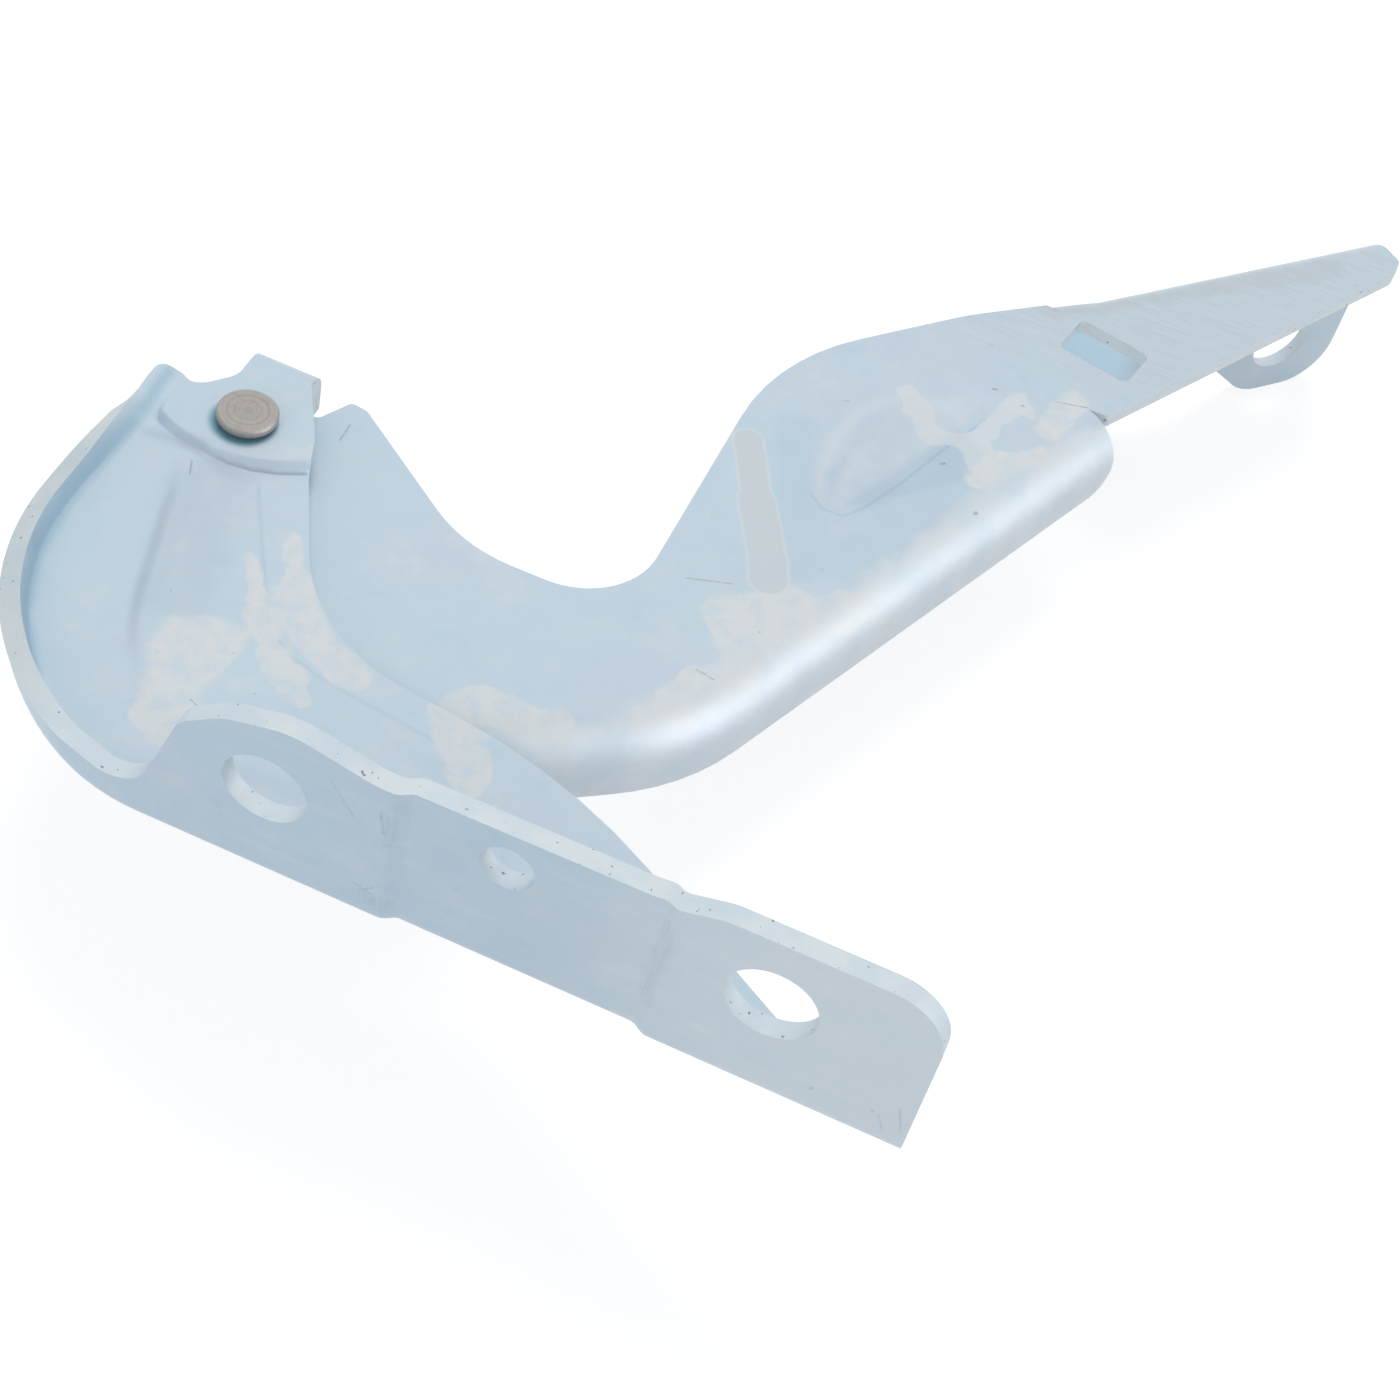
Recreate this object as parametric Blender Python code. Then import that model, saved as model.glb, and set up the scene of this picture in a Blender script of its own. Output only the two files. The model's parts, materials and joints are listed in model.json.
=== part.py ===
"""Bonnet hinge: two steel pressings that turn on one riveted pivot.

The hinge lies on its side. X runs along the body flange towards its free end, Y points from the
mounting face into the hinge, and Z follows the rivet, up through the inner face of the bracket.
The origin is on the body flange's mounting face. Each piece is modelled round the pivot axis,
with z = 0 at the inner face of the bracket's web, and its object stands at the pivot.
"""

import math

import bmesh
import bpy
from mathutils import Vector
from mathutils.geometry import delaunay_2d_cdt

MM = 0.001

# Where the pivot stands from the origin, on the mounting face between the first hole and the recess
PIVOT_ALONG = -59.5 * MM
PIVOT_STANDOFF = 83.0 * MM
PIVOT_DROP = -17.0 * MM

# Clearances
SEAT_GAP = 0.3 * MM
ARM_GAP = 0.7 * MM

# Body bracket
BRACKET_SHEET = 3.5 * MM
BRACKET_BEND = 1.8 * MM
RIM_OUT = 20.3 * MM
RIM_HEIGHT = 5.5 * MM
RIM_WIDTH = 2.9 * MM
RIM_TURN = math.radians(68.0)
CORNER_WIDE = 53.75 * MM
CORNER_TIGHT = 36.0 * MM
CORNER_SPLIT = math.radians(60.0)
BRACKET_TOP = 4.2 * MM
FLANGE_MARGIN = 25.6 * MM
WEB_MARGIN = 13.6 * MM
FLANGE_START = 12.0 * MM
RECESS_START = 66.0 * MM
RECESS_END = 108.0 * MM
RECESS_DEPTH = 1.4 * MM
RECESS_RUN = 3.0 * MM
EAR_TURN = math.radians(14.0)
EAR_LENGTH = 7.0 * MM
EAR_REACH = 1.15 * MM
EAR_ROUND = 2.2 * MM
RISE_TURN = math.radians(45.0)
RISE_RUN = 7.0 * MM
SETTLE_RUN = 20.0 * MM

HOLE_ONE_ALONG = 45.7 * MM
HOLE_ONE_UP = 19.1 * MM
HOLE_ONE_RADIUS = 7.0 * MM
HOLE_TWO_ALONG = 84.3 * MM
HOLE_TWO_UP = 23.3 * MM
HOLE_TWO_RADIUS = 4.5 * MM
HOLE_THREE_ALONG = 127.4 * MM
HOLE_THREE_UP = 20.6 * MM
HOLE_THREE_RADIUS = 7.5 * MM

PAD_RISE = 2.0 * MM
PAD_ARC_RADIUS = 26.0 * MM
PAD_ARC_X = -2.0 * MM
PAD_ARC_Y = 16.0 * MM
PAD_STEP_RUN = 1.6 * MM
PAD_SIDE_RUN = 1.6 * MM
PAD_SIDE_START = -10.0 * MM
PAD_SIDE_END = 0.0 * MM
PANEL_RISE = 0.7 * MM
PANEL_RUN = 5.0 * MM

TAB_LEFT = -6.6 * MM
TAB_RIGHT = 5.4 * MM
TAB_FACE = 18.5 * MM
TAB_BEND = 1.0 * MM
TAB_REACH = 9.2 * MM

# Bonnet arm
ARM_SHEET = 2.8 * MM
EYE_RADIUS = 14.0 * MM
ROLL_RADIUS = 9.0 * MM
ROLL_DEPTH = 14.0 * MM
ROLL_END_ROUND = 5.0 * MM
ROLL_START_RUN = 26.0 * MM
BONNET_BEND = 3.0 * MM
BONNET_BEND_START = 0.5 * MM
BONNET_BEND_RUN = 13.0 * MM
BONNET_FACE_X = 121.95 * MM
BONNET_FACE_Y = 126.2 * MM
BONNET_ANGLE = math.radians(47.8)
BONNET_START = -8.0 * MM
BONNET_END = 75.4 * MM
STRIP_START_X = 137.0 * MM
STRIP_START_Y = 94.4 * MM
TIP_X = 179.6 * MM
TIP_NEAR_Y = 171.1 * MM
TIP_FAR_Y = 175.9 * MM
LUG_DEPTH = 38.6 * MM
VALLEY_DEPTH = 22.0 * MM
LUG_HOLE_DEPTH = 25.1 * MM
LUG_ONE_ALONG = 59.4 * MM
LUG_ONE_HOLE = 7.1 * MM
LUG_TWO_ALONG = 3.6 * MM
LUG_TWO_HOLE = 5.5 * MM
SLOT_X = 130.8 * MM
SLOT_Y = 112.1 * MM
SLOT_LONG = 15.4 * MM
SLOT_WIDE = 10.7 * MM
SLOT_TURN = math.radians(-11.0)
SLOT_ROUND = 1.6 * MM
DENT_DEPTH = 0.9 * MM
DENT_RUN = 4.4 * MM

# Pivot
SHANK_RADIUS = 4.0 * MM
FORMED_HEAD_RADIUS = 5.5 * MM
FORMED_HEAD_HEIGHT = 2.1 * MM
FACTORY_HEAD_RADIUS = 8.5 * MM
FACTORY_HEAD_HEIGHT = 3.0 * MM
BUSH_WALL = 1.2 * MM
BUSH_FLANGE_RADIUS = 7.8 * MM
BUSH_FLANGE = 1.0 * MM
WASHER_RADIUS = 7.6 * MM

# How finely curves are divided
CURVE_STEP = math.radians(6.0)
LONG_STEP = 6.0 * MM
BEND_SEGMENTS = 6
RIM_ROWS = 3
ROUND_STEPS = 40

# Sizes that follow from those above
BRACKET_TURN = BRACKET_BEND + BRACKET_SHEET
FLANGE_END = HOLE_THREE_ALONG + FLANGE_MARGIN
WEB_END = HOLE_THREE_ALONG + WEB_MARGIN
FOLD_X = -RIM_OUT + BRACKET_TURN
FOLD_Y = -PIVOT_STANDOFF + BRACKET_TURN
CORNER_STEP = CORNER_WIDE - CORNER_TIGHT
TIGHT_X = -RIM_OUT + CORNER_WIDE - CORNER_STEP * math.cos(CORNER_SPLIT)
TIGHT_Y = -PIVOT_STANDOFF + CORNER_TIGHT
WIDE_X = -RIM_OUT + CORNER_WIDE
WIDE_Y = TIGHT_Y + CORNER_STEP * math.sin(CORNER_SPLIT)
WIDE_FOLD = CORNER_WIDE - BRACKET_TURN
TIGHT_FOLD = CORNER_TIGHT - BRACKET_TURN
ARM_TOP = -BRACKET_SHEET - ARM_GAP
ARM_BOTTOM = ARM_TOP - ARM_SHEET
BRACKET_BORE = SHANK_RADIUS + SEAT_GAP
BUSH_BORE = SHANK_RADIUS + SEAT_GAP
BUSH_RADIUS = BUSH_BORE + BUSH_WALL
ARM_BORE = BUSH_RADIUS + SEAT_GAP
BUSH_SEAT = ARM_TOP + SEAT_GAP
WASHER_SEAT = BUSH_SEAT + BUSH_FLANGE + SEAT_GAP
WASHER_TOP = PAD_RISE - BRACKET_SHEET - SEAT_GAP


def mm(corners):
    """Outline corners given in millimetres, as metres: (x, y, corner radius)."""
    return [tuple(value * MM for value in corner) for corner in corners]


def blend(t):
    """A smooth rise from 0 to 1."""
    t = min(1.0, max(0.0, t))
    return t * t * (3.0 - 2.0 * t)


def rounded(corners, closed=True):
    """Points along straight lines whose corners (x, y, radius) are rounded to their own radius."""
    points = []
    count = len(corners)
    for index, (x, y, radius) in enumerate(corners):
        here = Vector((x, y))
        is_end = not closed and index in (0, count - 1)
        if radius <= 0.0 or is_end:
            points.append(here)
            continue
        before = Vector(corners[index - 1][:2])
        after = Vector(corners[(index + 1) % count][:2])
        back = (before - here).normalized()
        ahead = (after - here).normalized()
        half = back.angle(ahead) / 2.0
        if half > math.radians(89.5):
            points.append(here)
            continue
        reach = min(radius / math.tan(half), 0.49 * (before - here).length, 0.49 * (after - here).length)
        radius = reach * math.tan(half)
        centre = here + (back + ahead).normalized() * (radius / math.sin(half))
        first = here + back * reach - centre
        last = here + ahead * reach - centre
        sweep = first.angle_signed(last)
        steps = max(2, math.ceil(abs(sweep) / CURVE_STEP))
        for step in range(steps + 1):
            turn = -sweep * step / steps
            cos, sin = math.cos(turn), math.sin(turn)
            points.append(centre + Vector((first.x * cos - first.y * sin, first.x * sin + first.y * cos)))
    return points


def divided(points, closed=True, longest=LONG_STEP):
    """The same line with its long straights divided."""
    result = []
    count = len(points)
    for index, start in enumerate(points):
        result.append(start)
        if index == count - 1 and not closed:
            break
        end = points[(index + 1) % count]
        pieces = max(1, math.ceil((end - start).length / longest - 1e-6))
        result += [start.lerp(end, piece / pieces) for piece in range(1, pieces)]
    return result


def circle(x, y, radius, steps=ROUND_STEPS):
    turns = (2.0 * math.pi * step / steps for step in range(steps))
    return [Vector((x + radius * math.cos(turn), y + radius * math.sin(turn))) for turn in turns]


def arc(x, y, radius, start, end):
    """Points on an arc between two angles, in radians."""
    steps = max(2, math.ceil(abs(end - start) / CURVE_STEP))
    turns = (start + (end - start) * step / steps for step in range(steps + 1))
    return [Vector((x + radius * math.cos(turn), y + radius * math.sin(turn))) for turn in turns]


def is_inside(point, loop):
    """Whether a point lies inside a closed line."""
    result = False
    for index, end in enumerate(loop):
        start = loop[index - 1]
        if (start.y > point.y) != (end.y > point.y):
            crossing = start.x + (point.y - start.y) * (end.x - start.x) / (end.y - start.y)
            if point.x < crossing:
                result = not result
    return result


def depth_inside(point, loop):
    """How far inside a closed line a point lies, or 0 outside it."""
    if not is_inside(point, loop):
        return 0.0
    nearest = math.inf
    for index, end in enumerate(loop):
        start = loop[index - 1]
        side = end - start
        share = min(1.0, max(0.0, (point - start).dot(side) / side.length_squared))
        nearest = min(nearest, (start + side * share - point).length)
    return nearest


def inset(corners, distance):
    """The corners of an outline moved inwards, for an outline that runs anticlockwise."""
    result = []
    count = len(corners)
    for index, (x, y, radius) in enumerate(corners):
        here = Vector((x, y))
        back = (here - Vector(corners[index - 1][:2])).normalized()
        ahead = (Vector(corners[(index + 1) % count][:2]) - here).normalized()
        inward = Vector((-back.y - ahead.y, back.x + ahead.x)).normalized()
        reach = distance / max(0.3, inward.dot(Vector((-back.y, back.x))))
        turns_left = back.cross(ahead) > 0.0
        new_radius = radius - distance if turns_left else radius + distance
        moved = here + inward * reach
        result.append((moved.x, moved.y, max(new_radius, 0.5 * MM)))
    return result


def fill(outline, holes=(), lines=()):
    """Triangles of the flat area inside an outline, with holes, along the lines given."""
    points = []
    edges = []
    loops = [(outline, True)] + [(hole, True) for hole in holes]
    for line, is_loop in loops + [(open_line, False) for open_line in lines]:
        first = len(points)
        points += line
        edges += [(first + step, first + step + 1) for step in range(len(line) - 1)]
        if is_loop:
            edges.append((len(points) - 1, first))
    found = delaunay_2d_cdt(points, edges, [], 0, 1e-8)
    corners = [Vector(point) for point in found[0]]
    faces = []
    for face in found[2]:
        middle = sum((corners[index] for index in face), Vector((0.0, 0.0))) / len(face)
        if is_inside(middle, outline) and not any(is_inside(middle, hole) for hole in holes):
            faces.append(face)
    return corners, faces


class Sheet:
    """A pressing under construction: one skin, each corner knowing the way through the metal."""

    def __init__(self, thickness):
        self.thickness = thickness
        self.mesh = bmesh.new()
        self.way = self.mesh.verts.layers.float_vector.new("way_through")

    def add(self, corners, faces):
        """Adds faces over corners given as (position, way through the sheet)."""
        verts = []
        for position, way in corners:
            vert = self.mesh.verts.new(position)
            vert[self.way] = way
            verts.append(vert)
        for face in faces:
            self.mesh.faces.new([verts[index] for index in face])

    def add_grid(self, rows):
        """Adds a net of four-sided faces between rows of corners of one length."""
        width = len(rows[0])
        faces = []
        for row in range(len(rows) - 1):
            for step in range(width - 1):
                first = row * width + step
                faces.append((first, first + 1, first + width + 1, first + width))
        self.add([corner for row in rows for corner in row], faces)

    def thicken(self):
        """Joins the areas and gives the sheet its other skin and its cut edges."""
        bmesh.ops.remove_doubles(self.mesh, verts=self.mesh.verts[:], dist=0.005 * MM)
        bmesh.ops.dissolve_degenerate(self.mesh, edges=self.mesh.edges[:], dist=0.001 * MM)
        everything = self.mesh.verts[:] + self.mesh.edges[:] + self.mesh.faces[:]
        made = bmesh.ops.extrude_face_region(self.mesh, geom=everything, use_keep_orig=True)
        for item in made["geom"]:
            if isinstance(item, bmesh.types.BMVert):
                item.co += item[self.way] * self.thickness
        bmesh.ops.recalc_face_normals(self.mesh, faces=self.mesh.faces[:])
        return self.mesh


class Fold:
    """A bend along a line on the web, and the wall beyond it.

    base, out, level, turn and radius are functions of the place along the line: the point where
    the bend starts, the way out from the web, the web's height, the angle of the bend and the
    radius of the upper skin.
    """

    def __init__(self, thickness, is_up, base, out, level, turn, radius):
        self.thickness = thickness
        self.is_up = is_up
        self.base = base
        self.out = out
        self.level = level
        self.turn = turn
        self.radius = radius

    def point(self, along, share, run):
        """A corner on the bend at a share of its turn, or on the wall past it, and its way through."""
        base, out = self.base(along), self.out(along)
        turn, radius = self.turn(along) * share, self.radius(along)
        side = 1.0 if self.is_up else -1.0
        sin, cos = math.sin(turn), math.cos(turn)
        flat = radius * sin + run * cos
        rise = side * (radius * (1.0 - cos) + run * sin)
        position = Vector((base.x + out.x * flat, base.y + out.y * flat, self.level(along) + rise))
        way = Vector((side * out.x * sin, side * out.y * sin, -cos))
        return position, way

    def bend_rows(self, stations):
        shares = [step / BEND_SEGMENTS for step in range(BEND_SEGMENTS + 1)]
        return [[self.point(along, share, 0.0) for share in shares] for along in stations]

    def wall_rows(self, stations, height, rows=3):
        return [[self.point(along, 1.0, height(along) * row / rows) for row in range(rows + 1)]
                for along in stations]


def add_wall(sheet, fold, outline, holes=(), lines=()):
    """A wall with an outline and holes of its own, drawn as (place along the fold, height)."""
    corners, faces = fill(outline, holes, lines)
    sheet.add([fold.point(corner.x, 1.0, corner.y) for corner in corners], faces)


def material(name, colour, roughness, metallic):
    made = bpy.data.materials.new(name)
    made.use_nodes = True
    shader = made.node_tree.nodes["Principled BSDF"]
    shader.inputs["Base Color"].default_value = (*colour, 1.0)
    shader.inputs["Roughness"].default_value = roughness
    shader.inputs["Metallic"].default_value = metallic
    return made


def place(name, mesh, finish, parent):
    """An object at the pivot with the finished mesh, shaded smooth across its bends."""
    data = bpy.data.meshes.new(name)
    mesh.to_mesh(data)
    mesh.free()
    data.shade_smooth()
    data.set_sharp_from_angle(angle=math.radians(35.0))
    data.materials.append(finish)
    made = bpy.data.objects.new(name, data)
    made.parent = parent
    bpy.context.scene.collection.objects.link(made)
    return made


# Body bracket

def recess(x):
    """How far the flange's middle stretch stands back from its two mounting pads."""
    into = blend((x - RECESS_START) / RECESS_RUN)
    out_of = blend((x - RECESS_END) / RECESS_RUN)
    return RECESS_DEPTH * (into - out_of)


STRAIGHT_RIM = BRACKET_TOP - WIDE_Y
WIDE_LENGTH = WIDE_FOLD * CORNER_SPLIT
CORNER_LENGTH = WIDE_LENGTH + TIGHT_FOLD * (math.pi / 2.0 - CORNER_SPLIT)


def corner_angle(along):
    """How far the bend line has turned at a place: 0 on the left side, a quarter turn on the flange."""
    past = along - STRAIGHT_RIM
    if past <= WIDE_LENGTH:
        return max(past, 0.0) / WIDE_FOLD
    return min(CORNER_SPLIT + (past - WIDE_LENGTH) / TIGHT_FOLD, math.pi / 2.0)


def rim_base(along):
    """The bend line of the rim and flange: down the left side, round the corner, then along X."""
    if along <= STRAIGHT_RIM:
        return Vector((FOLD_X, BRACKET_TOP - along))
    if along <= STRAIGHT_RIM + CORNER_LENGTH:
        turn = corner_angle(along)
        is_wide = turn <= CORNER_SPLIT
        centre = Vector((WIDE_X, WIDE_Y) if is_wide else (TIGHT_X, TIGHT_Y))
        return centre + rim_out(along) * (WIDE_FOLD if is_wide else TIGHT_FOLD)
    x = TIGHT_X + along - STRAIGHT_RIM - CORNER_LENGTH
    return Vector((x, FOLD_Y + recess(x)))


def rim_out(along):
    turn = corner_angle(along)
    return Vector((-math.cos(turn), -math.sin(turn)))


def rim_turn(along):
    """The rim nearly lies at the ear, leans outwards further on, and stands up at the flange."""
    rise = (RISE_TURN - EAR_TURN) * blend((along - EAR_LENGTH) / RISE_RUN)
    settle = (RIM_TURN - RISE_TURN) * blend((along - EAR_LENGTH - RISE_RUN / 2.0) / SETTLE_RUN)
    stand = (math.pi / 2.0 - RIM_TURN) * blend((along - STRAIGHT_RIM) / CORNER_LENGTH)
    return EAR_TURN + rise + settle + stand


def rim_height(along):
    """Width of the rim past its bend: more where it nearly lies and where it joins the flange."""
    joined = RIM_HEIGHT - BRACKET_BEND - RIM_WIDTH
    width = RIM_WIDTH + EAR_REACH * math.cos(rim_turn(along))
    width += joined * blend((along - STRAIGHT_RIM) / CORNER_LENGTH)
    if along < EAR_ROUND:
        width -= EAR_ROUND - math.sqrt(EAR_ROUND ** 2 - (EAR_ROUND - along) ** 2)
    return width


def along_flange(x):
    """The place along the bend line of a point on the flange."""
    return STRAIGHT_RIM + CORNER_LENGTH + x - TIGHT_X


PANEL_CORNERS = mm([
    (-5.0, -9.0, 3.0), (-3.5, -20.0, 30.0), (3.0, -46.0, 30.0), (13.0, -66.0, 14.0), (30.0, -71.0, 12.0),
    (84.0, -69.0, 8.0), (96.0, -62.5, 6.0), (81.0, -54.0, 60.0), (33.0, -44.5, 30.0), (18.5, -27.0, 40.0),
    (9.0, -9.0, 3.0)])


def bracket_level(point, panel):
    """Height of the web's inner face: the pad round the pivot, its soft side and the pressed panel."""
    from_arc = PAD_ARC_RADIUS - math.hypot(point.x - PAD_ARC_X, point.y - PAD_ARC_Y)
    pad = blend(from_arc / PAD_STEP_RUN)
    foot = blend((point.y - PAD_SIDE_START) / (PAD_SIDE_END - PAD_SIDE_START))
    pad = foot + (pad - foot) * blend((point.x - FOLD_X) / PAD_SIDE_RUN)
    raised = PANEL_RISE * blend(depth_inside(point, panel) / PANEL_RUN)
    return max(PAD_RISE * pad, raised)


def bracket_outline():
    """The web's outline, anticlockwise from the corner of the rim beside the pivot."""
    risen = EAR_LENGTH + RISE_RUN
    rim_stations = [EAR_ROUND * (1.0 - math.cos(math.pi / 8.0 * step)) for step in range(4)]
    rim_stations += [EAR_ROUND + (risen - EAR_ROUND) * step / 12 for step in range(12)]
    rim_stations += [risen + (STRAIGHT_RIM - risen) * step / 7 for step in range(7)]
    rim_stations += [STRAIGHT_RIM + CORNER_LENGTH * step / 30 for step in range(30)]
    edges = (RECESS_START, RECESS_END)
    marks = {TIGHT_X + (WEB_END - TIGHT_X) * step / 14 for step in range(15)}
    for edge in edges:
        marks |= {edge + RECESS_RUN * step / 4 for step in range(5)}
    rim_stations += [along_flange(x) for x in sorted(marks)]
    free_edge = rounded([
        (WEB_END, FOLD_Y, 0.0), (81.0 * MM, -42.95 * MM, 100.0 * MM), (31.7 * MM, -37.8 * MM, 46.0 * MM),
        (14.6 * MM, -4.8 * MM, 12.0 * MM), (12.2 * MM, 2.0 * MM, 10.0 * MM),
        (TAB_RIGHT, TAB_FACE - TAB_BEND - BRACKET_SHEET, 0.0)], closed=False)
    tab_places = [TAB_RIGHT + (TAB_LEFT - TAB_RIGHT) * step / 3 for step in range(1, 4)]
    tab_line = [Vector((x, free_edge[-1].y)) for x in tab_places]
    throat = rounded([
        (*tab_line[-1], 0.0), (TAB_LEFT, 9.0 * MM, 5.0 * MM), (-10.6 * MM, 4.0 * MM, 6.0 * MM),
        (-12.9 * MM, 3.0 * MM, 5.0 * MM), (FOLD_X, BRACKET_TOP, 0.0)], closed=False)
    return [rim_base(along) for along in rim_stations] + free_edge[1:] + tab_line + throat[1:-1]


def add_bracket_web(sheet, outline, panel):
    """The web, and the places along the rim and flange where its bend line has corners."""
    pad_lines = []
    for step in range(5):
        radius = PAD_ARC_RADIUS - PAD_STEP_RUN * step / 4
        pad_lines.append(arc(PAD_ARC_X, PAD_ARC_Y, radius, math.radians(-155.0), math.radians(-35.0)))
    for step in range(1, 5):
        x = FOLD_X + PAD_SIDE_RUN * step / 4
        line = [Vector((x, PAD_SIDE_START)), Vector((x, PAD_SIDE_END))]
        pad_lines.append(divided(line, closed=False, longest=PAD_SIDE_RUN))
    panel_lines = []
    for step in range(1, 5):
        loop = divided(rounded(inset(PANEL_CORNERS, PANEL_RUN * step / 4)))
        panel_lines.append(loop + loop[:1])
    bore = circle(0.0, 0.0, BRACKET_BORE)
    border = panel + panel[:1]
    corners, faces = fill(outline, [bore], pad_lines + panel_lines + [border])
    down = Vector((0.0, 0.0, -1.0))
    sheet.add([(Vector((p.x, p.y, bracket_level(p, panel))), down) for p in corners], faces)
    used = {index for face in faces for index in face}
    stations = []
    for index in used:
        point = corners[index]
        for along in (BRACKET_TOP - point.y, corner_along(point), along_flange(point.x)):
            if along > -1e-9 and (rim_base(max(along, 0.0)) - point).length < 1e-7:
                stations.append(max(along, 0.0))
                break
    return sorted(stations)


def corner_along(point):
    """The place along the bend line of a point on the rounded corner."""
    turn = math.atan2(WIDE_Y - point.y, WIDE_X - point.x)
    if turn <= CORNER_SPLIT:
        return STRAIGHT_RIM + WIDE_FOLD * turn
    turn = math.atan2(TIGHT_Y - point.y, TIGHT_X - point.x)
    return STRAIGHT_RIM + WIDE_LENGTH + TIGHT_FOLD * (turn - CORNER_SPLIT)


def flange_wall_outline(stations):
    """The flange past the bend, as (place along the bend line, height past the bend)."""
    start = stations[0]
    top = rounded([
        (FLANGE_END, BRACKET_BEND, 0.0), (FLANGE_END, 35.1 * MM, 10.0 * MM),
        (118.0 * MM, 34.9 * MM, 8.0 * MM), (107.0 * MM, 31.6 * MM, 15.0 * MM),
        (63.0 * MM, 30.9 * MM, 12.0 * MM), (49.0 * MM, 34.2 * MM, 14.0 * MM),
        (38.3 * MM, 31.3 * MM, 12.0 * MM), (31.2 * MM, 26.0 * MM, 6.0 * MM),
        (24.4 * MM, RIM_HEIGHT, 8.4 * MM), (FLANGE_START, RIM_HEIGHT, 0.0)], closed=False)
    top = [Vector((along_flange(point.x), point.y - BRACKET_BEND)) for point in top[:-1]]
    side = [Vector((start, rim_height(start) * step / RIM_ROWS)) for step in range(RIM_ROWS, 0, -1)]
    return [Vector((along, 0.0)) for along in stations] + top + side


def make_bracket(finish, parent):
    sheet = Sheet(BRACKET_SHEET)
    panel = divided(rounded(PANEL_CORNERS))
    stations = add_bracket_web(sheet, bracket_outline(), panel)
    end = along_flange(FLANGE_END)
    stations += [(stations[-1] + end) / 2.0]
    rim = Fold(BRACKET_SHEET, True, rim_base, rim_out,
               lambda along: bracket_level(rim_base(along), panel), rim_turn, lambda along: BRACKET_BEND)
    sheet.add_grid(rim.bend_rows(stations + [end]))
    holes = [(HOLE_ONE_ALONG, HOLE_ONE_UP, HOLE_ONE_RADIUS), (HOLE_TWO_ALONG, HOLE_TWO_UP, HOLE_TWO_RADIUS),
             (HOLE_THREE_ALONG, HOLE_THREE_UP, HOLE_THREE_RADIUS)]
    rings = [circle(along_flange(x), up - BRACKET_BEND, radius) for x, up, radius in holes]
    recess_lines = []
    for edge in (RECESS_START, RECESS_END):
        for step in range(5):
            along = along_flange(edge + RECESS_RUN * step / 4)
            recess_lines.append([Vector((along, 0.0)), Vector((along, 40.0 * MM))])
    low = [along for along in stations if along <= along_flange(FLANGE_START) + 1e-9]
    sheet.add_grid(rim.wall_rows(low, rim_height, RIM_ROWS))
    high = [along for along in stations if along >= low[-1]]
    add_wall(sheet, rim, flange_wall_outline(high), rings, recess_lines)

    radius = TAB_BEND + BRACKET_SHEET
    tab = Fold(BRACKET_SHEET, False, lambda x: Vector((x, TAB_FACE - radius)), lambda x: Vector((0.0, 1.0)),
               lambda x: PAD_RISE, lambda x: math.pi / 2.0, lambda x: radius)
    places = [TAB_LEFT + (TAB_RIGHT - TAB_LEFT) * step / 3 for step in range(4)]
    sheet.add_grid(tab.bend_rows(places))
    depth = TAB_REACH + PAD_RISE - radius
    round_end = 1.5 * MM
    add_wall(sheet, tab, [Vector((x, 0.0)) for x in places] + rounded([
        (TAB_RIGHT, 0.0, 0.0), (TAB_RIGHT, depth, round_end), (TAB_LEFT, depth, round_end),
        (TAB_LEFT, 0.0, 0.0)], closed=False)[1:-1])
    return place("body_bracket", sheet.thicken(), finish, parent)


# Bonnet arm

DENT_CORNERS = mm([
    (93.5, 40.0, 5.0), (101.0, 40.5, 4.0), (111.5, 66.0, 40.0), (118.0, 85.0, 6.0), (109.0, 89.0, 8.0),
    (98.0, 78.0, 20.0), (92.5, 58.0, 30.0)])


def arm_level(point, dent):
    return ARM_TOP - DENT_DEPTH * blend(depth_inside(point, dent) / DENT_RUN)


def bonnet_line(along, inwards=0.0):
    """A point at a place along the bonnet flange's mounting face, moved inwards from it."""
    x = BONNET_FACE_X + along * math.cos(BONNET_ANGLE) + inwards * math.sin(BONNET_ANGLE)
    y = BONNET_FACE_Y + along * math.sin(BONNET_ANGLE) - inwards * math.cos(BONNET_ANGLE)
    return Vector((x, y))


def bonnet_radius(along):
    """Outer bend radius of the bonnet flange, which starts sharp and opens out."""
    opened = blend((along - BONNET_START) / BONNET_BEND_RUN)
    inner = BONNET_BEND_START + (BONNET_BEND - BONNET_BEND_START) * opened
    return inner + ARM_SHEET


ROLL_FACE = mm([(12.0, -37.0, 0.0), (62.0, -45.7, 35.0), (96.0, -21.0, 45.0), (141.3, 90.7, 0.0)])


def roll_line():
    """The line where the rolled edge starts, with the way out at each point."""
    face = divided(rounded(ROLL_FACE, closed=False), closed=False)
    line = []
    for index, point in enumerate(face):
        before = face[max(index - 1, 0)]
        after = face[min(index + 1, len(face) - 1)]
        ahead = (after - before).normalized()
        out = Vector((ahead.y, -ahead.x))
        line.append((point - out * ROLL_RADIUS, out))
    last, out = line[-1]
    ahead = Vector((-out.y, out.x))
    near_end = [(last - ahead * ROLL_END_ROUND * share, out) for share in (1.0, 0.7, 0.4, 0.15)]
    keep = [item for item in line[:-1] if (item[0] - last).length > ROLL_END_ROUND * 1.3]
    return keep + near_end + [line[-1]]


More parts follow.
